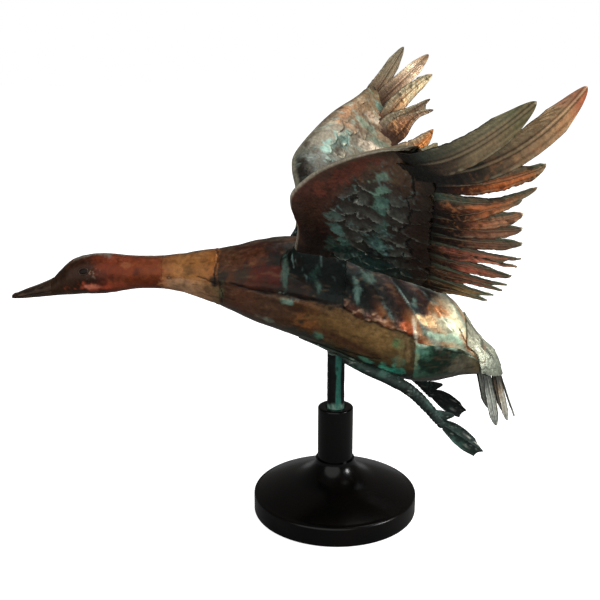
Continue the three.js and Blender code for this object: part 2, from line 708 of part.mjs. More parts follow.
// Half the gap from the middle surface to a skin's outer face: a round nose, fading to a thin rear edge
function skinRise(s, t, tailing) {
  const bulge = mix(rollRoot, rollHand, ease(s));
  const nose = Math.sqrt(t) * (1 - t) ** tailing;
  const peak = 0.5 / (tailing + 0.5);
  const full = Math.sqrt(peak) * (1 - peak) ** tailing;
  const rear = bladeThick / 2 + seam + wingSheet;
  return seam / 2 + (rear - seam / 2) * (1 - (1 - t) ** 3) + (bulge * nose) / full;
}
function wingFace(s, t, side) {
  const tailing = side > 0 ? 1.6 : 3.5; // the roll fades sooner on the hollow underside
  return wingMiddle(s, t).addScaledVector(wingUp(s), side * skinRise(s, t, tailing));
}
function wingSkin(side, growth = 0) {
  const rows = 9;
  const cols = 7;
  const face = [];
  const back = [];
  for (let i = 0; i <= rows; i += 1) {
    const s = i / rows;
    const chord = rearAt(s).sub(leadAt(s)).normalize();
    const outer = [];
    const inner = [];
    for (let j = 0; j <= cols; j += 1) {
      const t = (j / cols) ** 1.7;
      const step = 1e-3;
      const point = wingFace(s, t, side);
      const along = wingFace(s, Math.min(t + step, 1), side).sub(wingFace(s, Math.max(t - step, 0), side));
      const across = wingFace(Math.min(s + step, 1), t, side).sub(wingFace(Math.max(s - step, 0), t, side));
      const out = along.cross(across).normalize().multiplyScalar(side);
      if (j === 0) out.copy(chord).negate();
      if (j === cols) out.copy(wingUp(s)).multiplyScalar(side);
      if (j === cols) point.addScaledVector(chord, growth);
      outer.push(point.clone().addScaledVector(out, growth));
      inner.push(point.clone().addScaledVector(out, -wingSheet - growth));
    }
    face.push(outer);
    back.push(inner);
  }
  return plate(face, back);
}

function feather({ from, bend, tips, half }, growth) {
  const [s, t] = from;
  const start = wingMiddle(s, t);
  const ends = tips.map(placed);
  const aim = ends[0].clone().add(ends[ends.length - 1]).multiplyScalar(0.5).sub(start);
  const length = aim.length();
  const chord = rearAt(s).sub(leadAt(s));
  const held = (chord.length() * (1 - t)) / length;
  const up = wingUp(s);
  const out = chord.normalize().lerp(aim.normalize(), bladeAim);
  out.addScaledVector(up, -out.dot(up)).normalize();
  const knee = bend ? placed(bend) : start.clone().addScaledVector(out, length / 2);
  return blade({ start, knee, up, tips: ends, half, held, tilt: bladeTilt, taper: bladeTaper }, growth);
}

// The shoulder: rings from the wing's root section to an oval foot inside the body

function shoulder() {
  const half = 7;
  const rootRing = [];
  const footRing = [];
  for (let i = 0; i < 2 * half; i += 1) {
    const over = i < half;
    const k = over ? i / (half - 1) : (2 * half - 1 - i) / (half - 1);
    rootRing.push(wingFace(0, shoulderChord * k ** 1.6, over ? 1 : -1));
    const round = Math.PI * mix(0.97, 0.16, k) * (over ? 1 : -1);
    const t = alongBody(shoulderX + shoulderLong * Math.cos(round));
    footRing.push(offSkin(t, shoulderAngle - shoulderTurn * Math.sin(round), -shoulderSink));
  }
  const foot = offSkin(alongBody(shoulderX), shoulderAngle, -shoulderSink);
  const inward = foot.sub(wingMiddle(0, shoulderChord / 2)).normalize();
  const ringAt = (k) => rootRing.map((p, i) => {
    const from = p.clone().addScaledVector(inward, seam);
    return from.lerp(footRing[i], mix(k, k * k, 0.5));
  });
  // The wall's inner side: each point moves in its ring's plane, square to the wall, but towards the
  // middle at the ring's two ends
  const shrunk = (ring) => {
    const middle = ring.reduce((sum, p) => sum.add(p), V(0, 0, 0)).divideScalar(ring.length);
    const next = (i) => ring[(i + 1) % ring.length].clone();
    const facing = ring.reduce((sum, p, i) => {
      return sum.add(p.clone().sub(middle).cross(next(i).sub(middle)));
    }, V(0, 0, 0));
    return ring.map((p, i) => {
      const k = i < half ? i / (half - 1) : (2 * half - 1 - i) / (half - 1);
      const run = next(i).sub(ring[(i + ring.length - 1) % ring.length]);
      const square = clamp01(4 * k * (1 - k));
      const way = middle.clone().sub(p).normalize().lerp(facing.clone().cross(run).normalize(), square);
      return p.clone().addScaledVector(way.normalize(), sheet);
    });
  };
  const outer = [0, 0.35, 0.7, 1].map(ringAt);
  const inner = [...outer].reverse().map(shrunk);
  return loft([...outer, ...inner], true);
}

// Tail: the coverts' surface, row by row, w from -1 to 1 across

function covertPoint(row, w) {
  if (row < covertOnBody.length) {
    return offSkin(alongBody(covertOnBody[row]), w * covertSpread, seam + sheet);
  }
  const [midX, midZ, edgeX, half, edgeZ] = covertFalls[row - covertOnBody.length];
  return placed([mix(midX, edgeX, w * w), half * w, mix(midZ, edgeZ, w * w)]);
}
const covertLast = covertOnBody.length + covertFalls.length - 1;
function coverts(growth = 0) {
  const rows = covertLast + 1;
  const cols = 10;
  const face = [];
  const back = [];
  for (let i = 0; i < rows; i += 1) {
    const outer = [];
    const inner = [];
    for (let j = 0; j <= cols; j += 1) {
      const w = mix(-1, 1, j / cols);
      const down = covertPoint(Math.min(i + 1, covertLast), w).sub(covertPoint(Math.max(i - 1, 0), w));
      const across = covertPoint(i, w + 0.05).sub(covertPoint(i, w - 0.05));
      const inward = across.cross(down).normalize();
      const point = covertPoint(i, w);
      outer.push(point.clone().addScaledVector(inward, -growth));
      inner.push(point.clone().addScaledVector(inward, sheet + growth));
    }
    face.push(outer);
    back.push(inner);
  }
  return plate(face, back);
}
function tail() {
  add('tail_coverts', cut(coverts(), bodyTool(seam)), copper.tail);
  const around = coverts(seam);
  for (const side of [-1, 1]) {
    tailPlaces.forEach((place, i) => {
      if (place === 0 && side < 0) return;
      const w = side * place;
      const edge = covertPoint(covertLast, w);
      const fall = edge.clone().sub(covertPoint(covertLast - 1, w)).normalize();
      const across = covertPoint(covertLast, w + 0.05).sub(covertPoint(covertLast, w - 0.05)).normalize();
      const up = fall.clone().cross(across).normalize();
      const start = edge.clone().addScaledVector(fall, -tailGrip);
      start.addScaledVector(up, -(sheet + 2 * seam + bladeThick / 2));
      const tip = placed([tailTips[i][0], side * tailTips[i][1], tailTips[i][2]]);
      const held = tailGrip / start.distanceTo(tip);
      const out = fall.lerp(tip.clone().sub(start).normalize(), bladeAim).normalize();
      const knee = start.clone().addScaledVector(out, start.distanceTo(tip) / 2);
      const number = side < 0 ? tailPlaces.length - i : tailPlaces.length + i;
      const shape = { start, knee, up, tips: [tip], half: tailHalf, held, tilt: 0, taper: tailTaper };
      const geometry = blade(shape);
      add(`tail_feather_${number}`, cut(geometry, around), copper.tail);
    });
  }
}

// Legs and webbed feet

// A ring of points round a place, square to the direction `run`
function ovalRing(place, run, breadth, height, sides) {
  const side = run.clone().cross(V(0, 0, 1)).normalize();
  const lift = side.clone().cross(run);
  return Array.from({ length: sides }, (_, j) => {
    const a = (j / sides) * Math.PI * 2;
    const point = place.clone().addScaledVector(side, breadth * Math.cos(a));
    return point.addScaledVector(lift, height * Math.sin(a));
  });
}
function leg() {
  const places = legRows.map(placed);
  const rings = legRows.map(([, , , breadth, height], i) => {
    const before = places[Math.max(i - 1, 0)];
    const after = places[Math.min(i + 1, places.length - 1)];
    return ovalRing(places[i], after.clone().sub(before).normalize(), breadth, height, 10);
  });
  return cut(join(loft(rings), hindToe()), bodyTool(3 * seam + bellyThick), foot(seam));
}
function hindToe() {
  const from = placed(hindRoot);
  const to = placed(hindTip);
  const run = to.clone().sub(from).normalize();
  const shares = [[0, 1], [0.5, 0.75], [0.85, 0.4], [1, 0.15]]; // how far along, and the radius there
  return loft(shares.map(([k, share]) => {
    const height = hindRadius * share;
    return ovalRing(from.clone().lerp(to, k), run, height * hindFlat, height, 8);
  }));
}
function foot(growth = 0) {
  const heel = placed(ankle);
  const tips = toeTips.map(placed);
  const plane = tips[0].clone().sub(heel).cross(tips[2].clone().sub(heel)).normalize();
  const spread = tips[2].clone().sub(tips[0]).normalize();
  const face = [];
  const back = [];
  const rows = 6;
  for (let i = 0; i <= rows; i += 1) {
    const k = i / rows;
    const outer = [];
    const inner = [];
    for (let j = 0; j < 2 * tips.length - 1; j += 1) {
      const onToe = j % 2 === 0;
      const tip = onToe ? tips[j / 2] : tips[(j - 1) / 2].clone().lerp(tips[(j + 1) / 2], 0.5);
      const reach = onToe ? k : k * webReach;
      const aside = ((j + 1 - tips.length) / 2) * (toeRoots * (1 - k) + toeBow * Math.sin(Math.PI * k));
      const place = heel.clone().lerp(tip, mix(toeStart, 1, reach)).addScaledVector(spread, aside);
      const ridge = onToe ? toeRidge * (1 - toeFade * k) : 0;
      outer.push(place.clone().addScaledVector(plane, footThick / 2 + ridge + growth));
      inner.push(place.clone().addScaledVector(plane, -footThick / 2 - ridge / 2 - growth));
    }
    face.push(outer);
    back.push(inner);
  }
  const knuckle = new THREE.IcosahedronGeometry(ankleRadius + growth, 1).translate(...heel.toArray());
  return join(plate(face, back), knuckle);
}
function legs() {
  addPair('foot', foot(), copper.leg);
  addPair('leg', leg(), copper.leg);
}

function mirror(geometry) {
  const copy = geometry.clone().scale(1, -1, 1);
  copy.setIndex([...copy.index.array].reverse());
  return copy;
}
function addPair(name, geometry, material) {
  add(`${name}_right`, geometry, material);
  add(`${name}_left`, mirror(geometry), material);
}

function wings() {
  const body = bodyTool(seam);
  addPair('shoulder', cut(shoulder(), body), copper.wing);
  addPair('wing_upper_skin', cut(wingSkin(1), body), copper.wing);
  addPair('wing_lower_skin', cut(wingSkin(-1), body), copper.wing);

  const skins = [wingSkin(1, seam), wingSkin(-1, seam)];
  for (const side of ['right', 'left']) {
    const before = [];
    blades.forEach((row, i) => {
      const number = i + 1;
      const own = side === 'right' ? { ...row, ...rightBlades[number] } : row;
      const geometry = cut(feather(own), ...skins, ...before.slice(-2));
      add(`wing_feather_${number}_${side}`, side === 'left' ? mirror(geometry) : geometry, copper.feather);
      before.push(feather(own, seam));
    });
  }
}

stand();
spindle();
post();
saddle();
head();
neckAndBody();
wings();
tail();
legs();

export default duck;
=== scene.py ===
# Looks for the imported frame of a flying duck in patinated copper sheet, which turns on a black iron stand.
# Shapes are worked out in millimetres on grids of points, and turned to metres when a mesh is made.
import math
from itertools import product

import bpy
import numpy as np
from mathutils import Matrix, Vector


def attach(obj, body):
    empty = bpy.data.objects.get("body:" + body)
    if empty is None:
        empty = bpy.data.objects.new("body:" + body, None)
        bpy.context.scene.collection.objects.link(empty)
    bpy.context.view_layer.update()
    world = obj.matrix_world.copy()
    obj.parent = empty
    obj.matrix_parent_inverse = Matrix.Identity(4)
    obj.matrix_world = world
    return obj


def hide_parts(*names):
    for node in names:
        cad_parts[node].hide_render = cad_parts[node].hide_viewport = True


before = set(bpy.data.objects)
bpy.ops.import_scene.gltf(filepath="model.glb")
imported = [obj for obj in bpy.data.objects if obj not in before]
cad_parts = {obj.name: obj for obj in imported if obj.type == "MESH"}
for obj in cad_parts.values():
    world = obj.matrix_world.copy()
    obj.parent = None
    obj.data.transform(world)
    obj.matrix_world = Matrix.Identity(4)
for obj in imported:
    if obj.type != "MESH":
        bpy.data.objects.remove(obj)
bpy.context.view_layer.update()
scene = bpy.context.scene
mm = 0.001
seam = 0.3  # the gap between pieces that touch, in mm
stand, figure = "stand", "figure"


# Numbers and points

def vec(*parts):
    return np.stack(np.broadcast_arrays(*parts), axis=-1).astype(float)


def unit(v):
    return v / np.maximum(np.linalg.norm(v, axis=-1, keepdims=True), 1e-12)


def smooth(k):
    k = np.clip(k, 0, 1)
    return k * k * (3 - 2 * k)


def ramp(value, low, high):
    return smooth((value - low) / (high - low))


# A round hill, 1 at its top, from pairs of how far a point is from the top and how wide the hill is that way
def hill(*pairs):
    return np.exp(-sum((far / wide) ** 2 for far, wide in zip(pairs[::2], pairs[1::2])))


def mixed(a, b, k):
    return a + (b - a) * k


def gridOf(rows, cols):
    return np.meshgrid(np.linspace(0, 1, rows), np.linspace(0, 1, cols), indexing="ij")


# A smooth curve through rows of numbers (uniform Catmull-Rom), t from 0 to 1 over the list
def through(rows, t):
    rows = np.asarray(rows, float)
    last = len(rows) - 1
    place = np.clip(t, 0, 1) * last
    i = np.minimum(np.floor(place).astype(int), last - 1)
    k = (place - i)[..., None]
    a, b, c, d = rows[np.maximum(i - 1, 0)], rows[i], rows[i + 1], rows[np.minimum(i + 2, last)]
    slopeIn, slopeOut, rise = (c - a) / 2, (d - b) / 2, c - b
    square = 3 * rise - 2 * slopeIn - slopeOut
    return b + k * (slopeIn + k * (square + k * (slopeIn + slopeOut - 2 * rise)))


lattice = np.random.default_rng(11).uniform(-1, 1, (64, 64, 64))
# a fixed turn, so that the lattice's own directions don't show
askew = np.linalg.qr(np.random.default_rng(5).normal(size=(3, 3)))[0]


# Value noise: seeded random numbers on a lattice `size` mm apart, eased from one to the next
def noise(points, size, seed=0):
    place = points @ askew / size + seed * 7.13
    cell = np.floor(place).astype(int)
    k = smooth(place - cell)
    total = 0
    for corner in product((0, 1), repeat=3):
        i, j, h = np.moveaxis((cell + corner) % 64, -1, 0)
        total = total + np.prod(np.where(corner, k, 1 - k), axis=-1) * lattice[i, j, h]
    return total


# Noise of `size` mm with finer noise of half the size and strength on it, and so on
def cloud(points, size, seed=0, octaves=4):
    return sum(noise(points, size / 2 ** i, seed + i) / 2 ** i for i in range(octaves))


# Sharp-ridged creases, as in crumpled sheet: one minus the size of the noise
def creases(points, size, seed=0):
    first = 1 - np.abs(noise(points, size, seed)) * 2
    return first + 0.5 * (1 - np.abs(noise(points, size / 2, seed + 3)) * 2)


def normalsOf(grid, closed=False):
    down = np.gradient(grid, axis=0)
    across = (np.roll(grid, -1, 1) - np.roll(grid, 1, 1)) if closed else np.gradient(grid, axis=1)
    return unit(np.cross(down, across))


def linear(text):
    value = np.array([int(text[i:i + 2], 16) for i in (1, 3, 5)]) / 255
    return np.where(value <= 0.04045, value / 12.92, ((value + 0.055) / 1.055) ** 2.4)


# Paint is a colour for each point; a layer of another colour goes over it by a mask from 0 to 1
def lay(paint, colour, mask):
    return mixed(paint, linear(colour), np.clip(mask, 0, 1)[..., None])


def plain(colour, shape):
    return np.broadcast_to(linear(colour), (*shape, 3)).copy()


# Colours along a run: k from 0 to 1 over the list of colours
def gradient(colours, k):
    stops = np.array([linear(colour) for colour in colours.split()])
    place = np.clip(k, 0, 1) * (len(stops) - 1)
    i = np.minimum(np.floor(place).astype(int), len(stops) - 2)
    return mixed(stops[i], stops[i + 1], smooth(place - i)[..., None])


# Uneven spots of patina: rows of place u, v, radii along u and v, colour, strength
def spots(paint, u, v, rows, points, warp=0.5, seed=0):
    uneven = 1 + warp * cloud(points, 11, seed)
    ragged = [0.34 * cloud(points, 4, seed + 40 * i) for i in range(3)]
    for n, (u0, v0, ru, rv, colour, strength) in enumerate(rows):
        far = np.sqrt(((u - u0) / ru) ** 2 + ((v - v0) / rv) ** 2) * uneven + ragged[n % 3]
        paint = lay(paint, colour, strength * (1 - ramp(far, 0.5, 1.2)))
    return paint


# How far a point (u, v) is from a broken line, in the units of u and v
def fromLine(u, v, line):
    nearest = np.full(u.shape, 1e9)
    for (ua, va), (ub, vb) in zip(line[:-1], line[1:]):
        du, dv = ub - ua, vb - va
        k = np.clip(((u - ua) * du + (v - va) * dv) / (du * du + dv * dv), 0, 1)
        nearest = np.minimum(nearest, np.hypot(u - ua - k * du, v - va - k * dv))
    return nearest


# Lapped scales in rows: u and v count scales across and rows along, and bow is how far a scale's round end
# reaches into the next row. Gives for each point its scale's number, how far along that scale it lies (0 to
# about 1.5) and how far across (-1 to 1)
def scales(u, v, bow):
    row = np.floor(v)

    def inRow(r):
        place = u + 0.5 * (r % 2)
        col = np.floor(place)
        return col, 2 * (place - col) - 1

    colBefore, acrossBefore = inRow(row - 1)
    over = (v - row) < bow * np.sqrt(np.clip(1 - acrossBefore ** 2, 0, 1))
    col, across = inRow(row)
    row = np.where(over, row - 1, row)
    col = np.where(over, colBefore, col)
    across = np.where(over, acrossBefore, across)
    return row * 37 + col, v - row, across


# How far a point lies from the free edge of its own scale, and from the edge of the scale that laps over it
def scaleEdges(along, across, bow):
    own = 1 + bow * np.sqrt(np.clip(1 - across ** 2, 0, 1)) - along
    above = along - bow * np.sqrt(np.clip(1 - (np.abs(across) - 1) ** 2, 0, 1))
    return own, np.where(along < 1, above, 1)


# A number from -1 to 1 that seems random, for each scale's number
def byNumber(number, seed=0):
    return np.sin(number * 12.9898 + seed * 78.233) * 43758.5453 % 1


# Materials: one function adds a node, with its settings and what goes into it

def addNode(tree, kind, settings=None, inputs=None):
    made = tree.nodes.new(kind)
    for key, value in (settings or {}).items():
        setattr(made, key, value)
    for key, value in (inputs or {}).items():
        if isinstance(value, bpy.types.NodeSocket):
            tree.links.new(value, made.inputs[key])
        else:
            made.inputs[key].default_value = value
    return made


def newMaterial(name):
    material = bpy.data.materials.new(name)
    material.use_nodes = True
    tree = material.node_tree
    tree.nodes.clear()
    shader = addNode(tree, "ShaderNodeBsdfPrincipled")
    addNode(tree, "ShaderNodeOutputMaterial", None, {"Surface": shader.outputs[0]})
    return material, tree, shader


# Noise in object space with features of `size` mm; offset moves it away from another noise
def noiseNode(tree, size, detail, roughness, offset=0.0):
    place = addNode(tree, "ShaderNodeTexCoord").outputs["Object"]
    moved = addNode(tree, "ShaderNodeVectorMath", {"operation": "ADD"}, {0: place, 1: (offset,) * 3})
    inputs = {"Vector": moved.outputs[0], "Scale": 1 / (size * mm), "Detail": detail, "Roughness": roughness}
    return addNode(tree, "ShaderNodeTexNoise", None, inputs).outputs["Fac"]


def rangeNode(tree, value, fromLow, fromHigh, toLow, toHigh):
    inputs = {"Value": value, "From Min": fromLow, "From Max": fromHigh, "To Min": toLow, "To Max": toHigh}
    return addNode(tree, "ShaderNodeMapRange", None, inputs).outputs[0]


def mathNode(tree, operation, a, b):
    return addNode(tree, "ShaderNodeMath", {"operation": operation}, {0: a, 1: b}).outputs[0]


def mixNode(tree, factor, a, b, blend="MIX"):
    node = addNode(tree, "ShaderNodeMix", {"data_type": "RGBA", "blend_type": blend}, {"Factor": factor})
    for place, value in ((6, a), (7, b)):
        if isinstance(value, bpy.types.NodeSocket):
            tree.links.new(value, node.inputs[place])
        else:
            node.inputs[place].default_value = (*value, 1)
    return node.outputs[2]


# Bumps of a height in mm
def bumpNode(tree, height, strength, depth):
    inputs = {"Height": height, "Strength": strength, "Distance": depth * mm}
    return addNode(tree, "ShaderNodeBump", None, inputs)


# Hammered copper sheet under a worked patina: the paint on the points gives the colour, broken by fine
# mottling; verdigris is matt and grainy, bare metal shines in small dents
def copperMaterial(name, user):
    material, tree, shader = newMaterial(name)
    paint = addNode(tree, "ShaderNodeAttribute", {"attribute_name": "paint"}).outputs["Color"]
    green = addNode(tree, "ShaderNodeAttribute", {"attribute_name": "green"}).outputs["Fac"]
    mottle = noiseNode(tree, user["mottle"], detail=6.0, roughness=0.65)
    fine = noiseNode(tree, user["fine"], detail=3.0, roughness=0.6, offset=0.3)
    shade = rangeNode(tree, mottle, 0.3, 0.7, 1 - user["contrast"], 1 + user["contrast"])
    fineShade = rangeNode(tree, fine, 0.3, 0.7, 1 - user["fineContrast"], 1 + user["fineContrast"])
    shade = mathNode(tree, "MULTIPLY", shade, fineShade)
    gray = addNode(tree, "ShaderNodeCombineColor", None, {0: shade, 1: shade, 2: shade}).outputs[0]
    colour = mixNode(tree, 1.0, paint, gray, "MULTIPLY")
    # crust grows in grains, and more of it where the paint is green
    grain = noiseNode(tree, user["grain"], detail=8.0, roughness=0.7, offset=0.7)
    grain = mathNode(tree, "ADD", grain, mathNode(tree, "MULTIPLY", green, 0.3))
    crust = rangeNode(tree, grain, 0.66, 0.86, 0, 1)
    pale = mixNode(tree, 0.12, paint, linear(user["crust"]))
    colour = mixNode(tree, mathNode(tree, "MULTIPLY", crust, 0.5), colour, pale)
    tree.links.new(colour, shader.inputs["Base Color"])
    matt = rangeNode(tree, mottle, 0.3, 0.7, user["shiny"], user["matt"])
    matt = mathNode(tree, "ADD", matt, mathNode(tree, "MULTIPLY", crust, 0.3))
    tree.links.new(matt, shader.inputs["Roughness"])
    tree.links.new(rangeNode(tree, crust, 0, 1, user["metal"], 0.1), shader.inputs["Metallic"])
    shader.inputs["Specular IOR Level"].default_value = 0.28
    dent = noiseNode(tree, user["dent"], detail=3.0, roughness=0.5, offset=0.1)
    dents = bumpNode(tree, dent, 1.0, user["dentDepth"])
    grit = bumpNode(tree, mathNode(tree, "ADD", fine, crust), 0.5, user["grit"])
    tree.links.new(dents.outputs[0], grit.inputs["Normal"])
    tree.links.new(grit.outputs[0], shader.inputs["Normal"])
    return material


# Sizes of mottling, grain and dents in mm, and how strong and how shiny they are
copperFinish = {"mottle": 5, "contrast": 0.34, "fine": 0.9, "fineContrast": 0.12, "grain": 2.6,
                "crust": "#86a594", "shiny": 0.32, "matt": 0.55, "metal": 0.45, "dent": 6, "dentDepth": 0.5,
                "grit": 0.08}
bodyCopper = copperMaterial("patinated copper, body", copperFinish)
wingFinish = {"mottle": 3.4, "matt": 0.5, "dent": 4}
wingCopper = copperMaterial("patinated copper, wings", {**copperFinish, **wingFinish})
featherFinish = {"mottle": 3.4, "contrast": 0.24, "shiny": 0.24, "metal": 0.5, "dent": 3, "dentDepth": 0.3}
featherCopper = copperMaterial("patinated copper, feathers", {**copperFinish, **featherFinish})
legFinish = {"mottle": 3, "matt": 0.7, "metal": 0.5, "contrast": 0.45}
legCopper = copperMaterial("patinated copper, legs and post", {**copperFinish, **legFinish})


# Meshes

# A piece's material, colour slot and the CAD nodes that it stands for
def lookOf(material, slotName, *nodes, **more):
    return {"material": material, "slot": slotName, "nodes": nodes, **more}


def signedVolume(points, quads):
    a, b, c, d = (points[quads[:, i]] for i in range(4))
    return np.sum(a * np.cross(b, c)) + np.sum(a * np.cross(c, d))


def pieceOf(name, points, quads, triangles, paint, look):
    if signedVolume(points, quads) < 0:
        quads = quads[:, ::-1]
        triangles = [t[::-1] for t in triangles]
    mesh = bpy.data.meshes.new(name)
    mesh.from_pydata((points * mm).tolist(), [], quads.tolist() + [list(t) for t in triangles])
    mesh.polygons.foreach_set("use_smooth", np.ones(len(mesh.polygons), bool))
    colours = np.ones((len(points), 4), np.float32)
    colours[:, :3] = np.clip(paint, 0, 1)
    # verdigris grows where the paint is greener than red
    bright = colours[:, :3].sum(1)
    green = np.clip(4 * (colours[:, 1] - colours[:, 0]) / (bright + 1e-3), 0, 1) * np.clip(bright * 6, 0, 1)
    mesh.color_attributes.new("paint", "FLOAT_COLOR", "POINT").data.foreach_set("color", colours.ravel())
    mesh.attributes.new("green", "FLOAT", "POINT").data.foreach_set("value", green.astype(np.float32).ravel())
    mesh.update()
    mesh.set_sharp_from_angle(angle=math.radians(look.get("sharp", 58)))
    mesh.materials.append(look["material"])
    thing = bpy.data.objects.new(name, mesh)
    scene.collection.objects.link(thing)
    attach(thing, look.get("body", figure))
    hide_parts(*look["nodes"])


def quadsOf(rows, cols, start=0, closed=False):
    number = start + np.arange(rows * cols).reshape(rows, cols)
    nextCol = np.roll(number, -1, 1) if closed else number[:, 1:]
    here = number if closed else number[:, :-1]
    return np.stack([here[:-1], here[1:], nextCol[1:], nextCol[:-1]], axis=-1).reshape(-1, 4)


# A closed plate between two grids of points: face over back, joined round the edge. The back has the face's
# paint, only darker, unless it has its own
def plate(name, face, back, paint, look, backPaint=None):
    rows, cols = face.shape[:2]
    count = rows * cols
    number = np.arange(count).reshape(rows, cols)
    border = np.concatenate([number[0, :-1], number[:-1, -1], number[-1, :0:-1], number[:0:-1, 0]])
    ahead = np.roll(border, -1)
    walls = np.stack([border, ahead, ahead + count, border + count], axis=-1)
    quads = np.concatenate([quadsOf(rows, cols), quadsOf(rows, cols, count)[:, ::-1], walls])
    points = np.concatenate([face.reshape(-1, 3), back.reshape(-1, 3)])
    under = paint * 0.6 if backPaint is None else backPaint
    pieceOf(name, points, quads, [], np.concatenate([paint.reshape(-1, 3), under.reshape(-1, 3)]), look)


# A closed solid through rings of points, with a fan over each end
def tube(name, rings, paint, look):
    rows, cols = rings.shape[:2]
    points = np.concatenate([rings.reshape(-1, 3), rings[0].mean(0)[None], rings[-1].mean(0)[None]])
    first, last = rows * cols, rows * cols + 1
    fans = [(first, j, (j + 1) % cols) for j in range(cols)]
    fans += [(last, first - cols + (j + 1) % cols, first - cols + j) for j in range(cols)]
    colours = np.concatenate([paint.reshape(-1, 3), paint[0, :1], paint[-1, :1]])
    pieceOf(name, points, quadsOf(rows, cols, closed=True), fans, colours, look)


# Body: sections from front to back as x, crown, belly, half width

bodySections = [
    [-300, 268.5, 249.5, 10.5], [-291, 278, 250.5, 13], [-281, 287, 251, 15.5], [-269, 292.5, 251.5, 17],
    [-254, 295, 252, 18], [-240, 295, 253, 18], [-213, 292.7, 257.3, 17.3], [-183, 293, 257.5, 17.8],
    [-163, 294.8, 253.5, 20], [-142, 298, 246.3, 24], [-123, 300.6, 239.2, 28], [-103, 304.2, 229.5, 33],
    [-83, 309.8, 220.2, 37.5], [-63, 312.8, 213.2, 41], [-45, 313, 206.5, 43.5], [-23, 309.5, 197.8, 46],
    [0, 302, 186.5, 47.5], [24, 290, 174.5, 48], [55, 277, 163, 46.5], [77, 267.5, 156.5, 44],
    [99, 258.5, 154, 40], [121, 246.5, 157, 33], [133, 233.5, 160, 28], [144, 216, 161, 23.5],
    [152, 203, 161, 21],
]
bodySheet = 1.2
shellJoint = 0.5
manyPlaces = np.linspace(0, 1, 4001)
manyX = through(bodySections, manyPlaces)[:, 0]


# The place t along the sections where the body's x is
def alongBody(x):
    return np.interp(x, manyX, manyPlaces)


# The body's skin: at t along the sections, an oval as high as from belly to crown and twice the half width
# wide; angle goes round it from the crown, and is above 0 on the right
def skin(t, angle):
    x, crown, belly, half = np.moveaxis(through(bodySections, t), -1, 0)
    return vec(x, half * np.sin(angle), (crown + belly) / 2 + (crown - belly) / 2 * np.cos(angle))


def skinNormal(t, angle, step=1e-3):
    along = skin(np.minimum(t + step, 1), angle) - skin(np.maximum(t - step, 0), angle)
    return unit(np.cross(along, skin(t, angle + step) - skin(t, angle - step)))


# Degrees round the body from the crown, 0 to 180 on either side
def fromCrown(turn):
    degrees = np.abs(np.degrees(turn))
    return np.where(degrees > 180, 360 - degrees, degrees)


# Raised feather edges that sweep down and back over the back, as the CAD has them. Gives each point's share
# of a full ridge, 0 in the hollows to 1 on the crest, how far the ridges have risen, and their count so far
def ridges(x, degrees):
    turn = np.radians(degrees)
    place = (x - 4 - 40 * turn) / 33
    shown = np.clip((x - 5) / 25, 0, 1) * np.clip((136 - x) / 25, 0, 1)
    shown = shown * np.clip(4 * (1 - turn / (math.pi / 2)), 0, 1)
    return 1 - np.abs(np.sin(place * math.pi)), shown, place


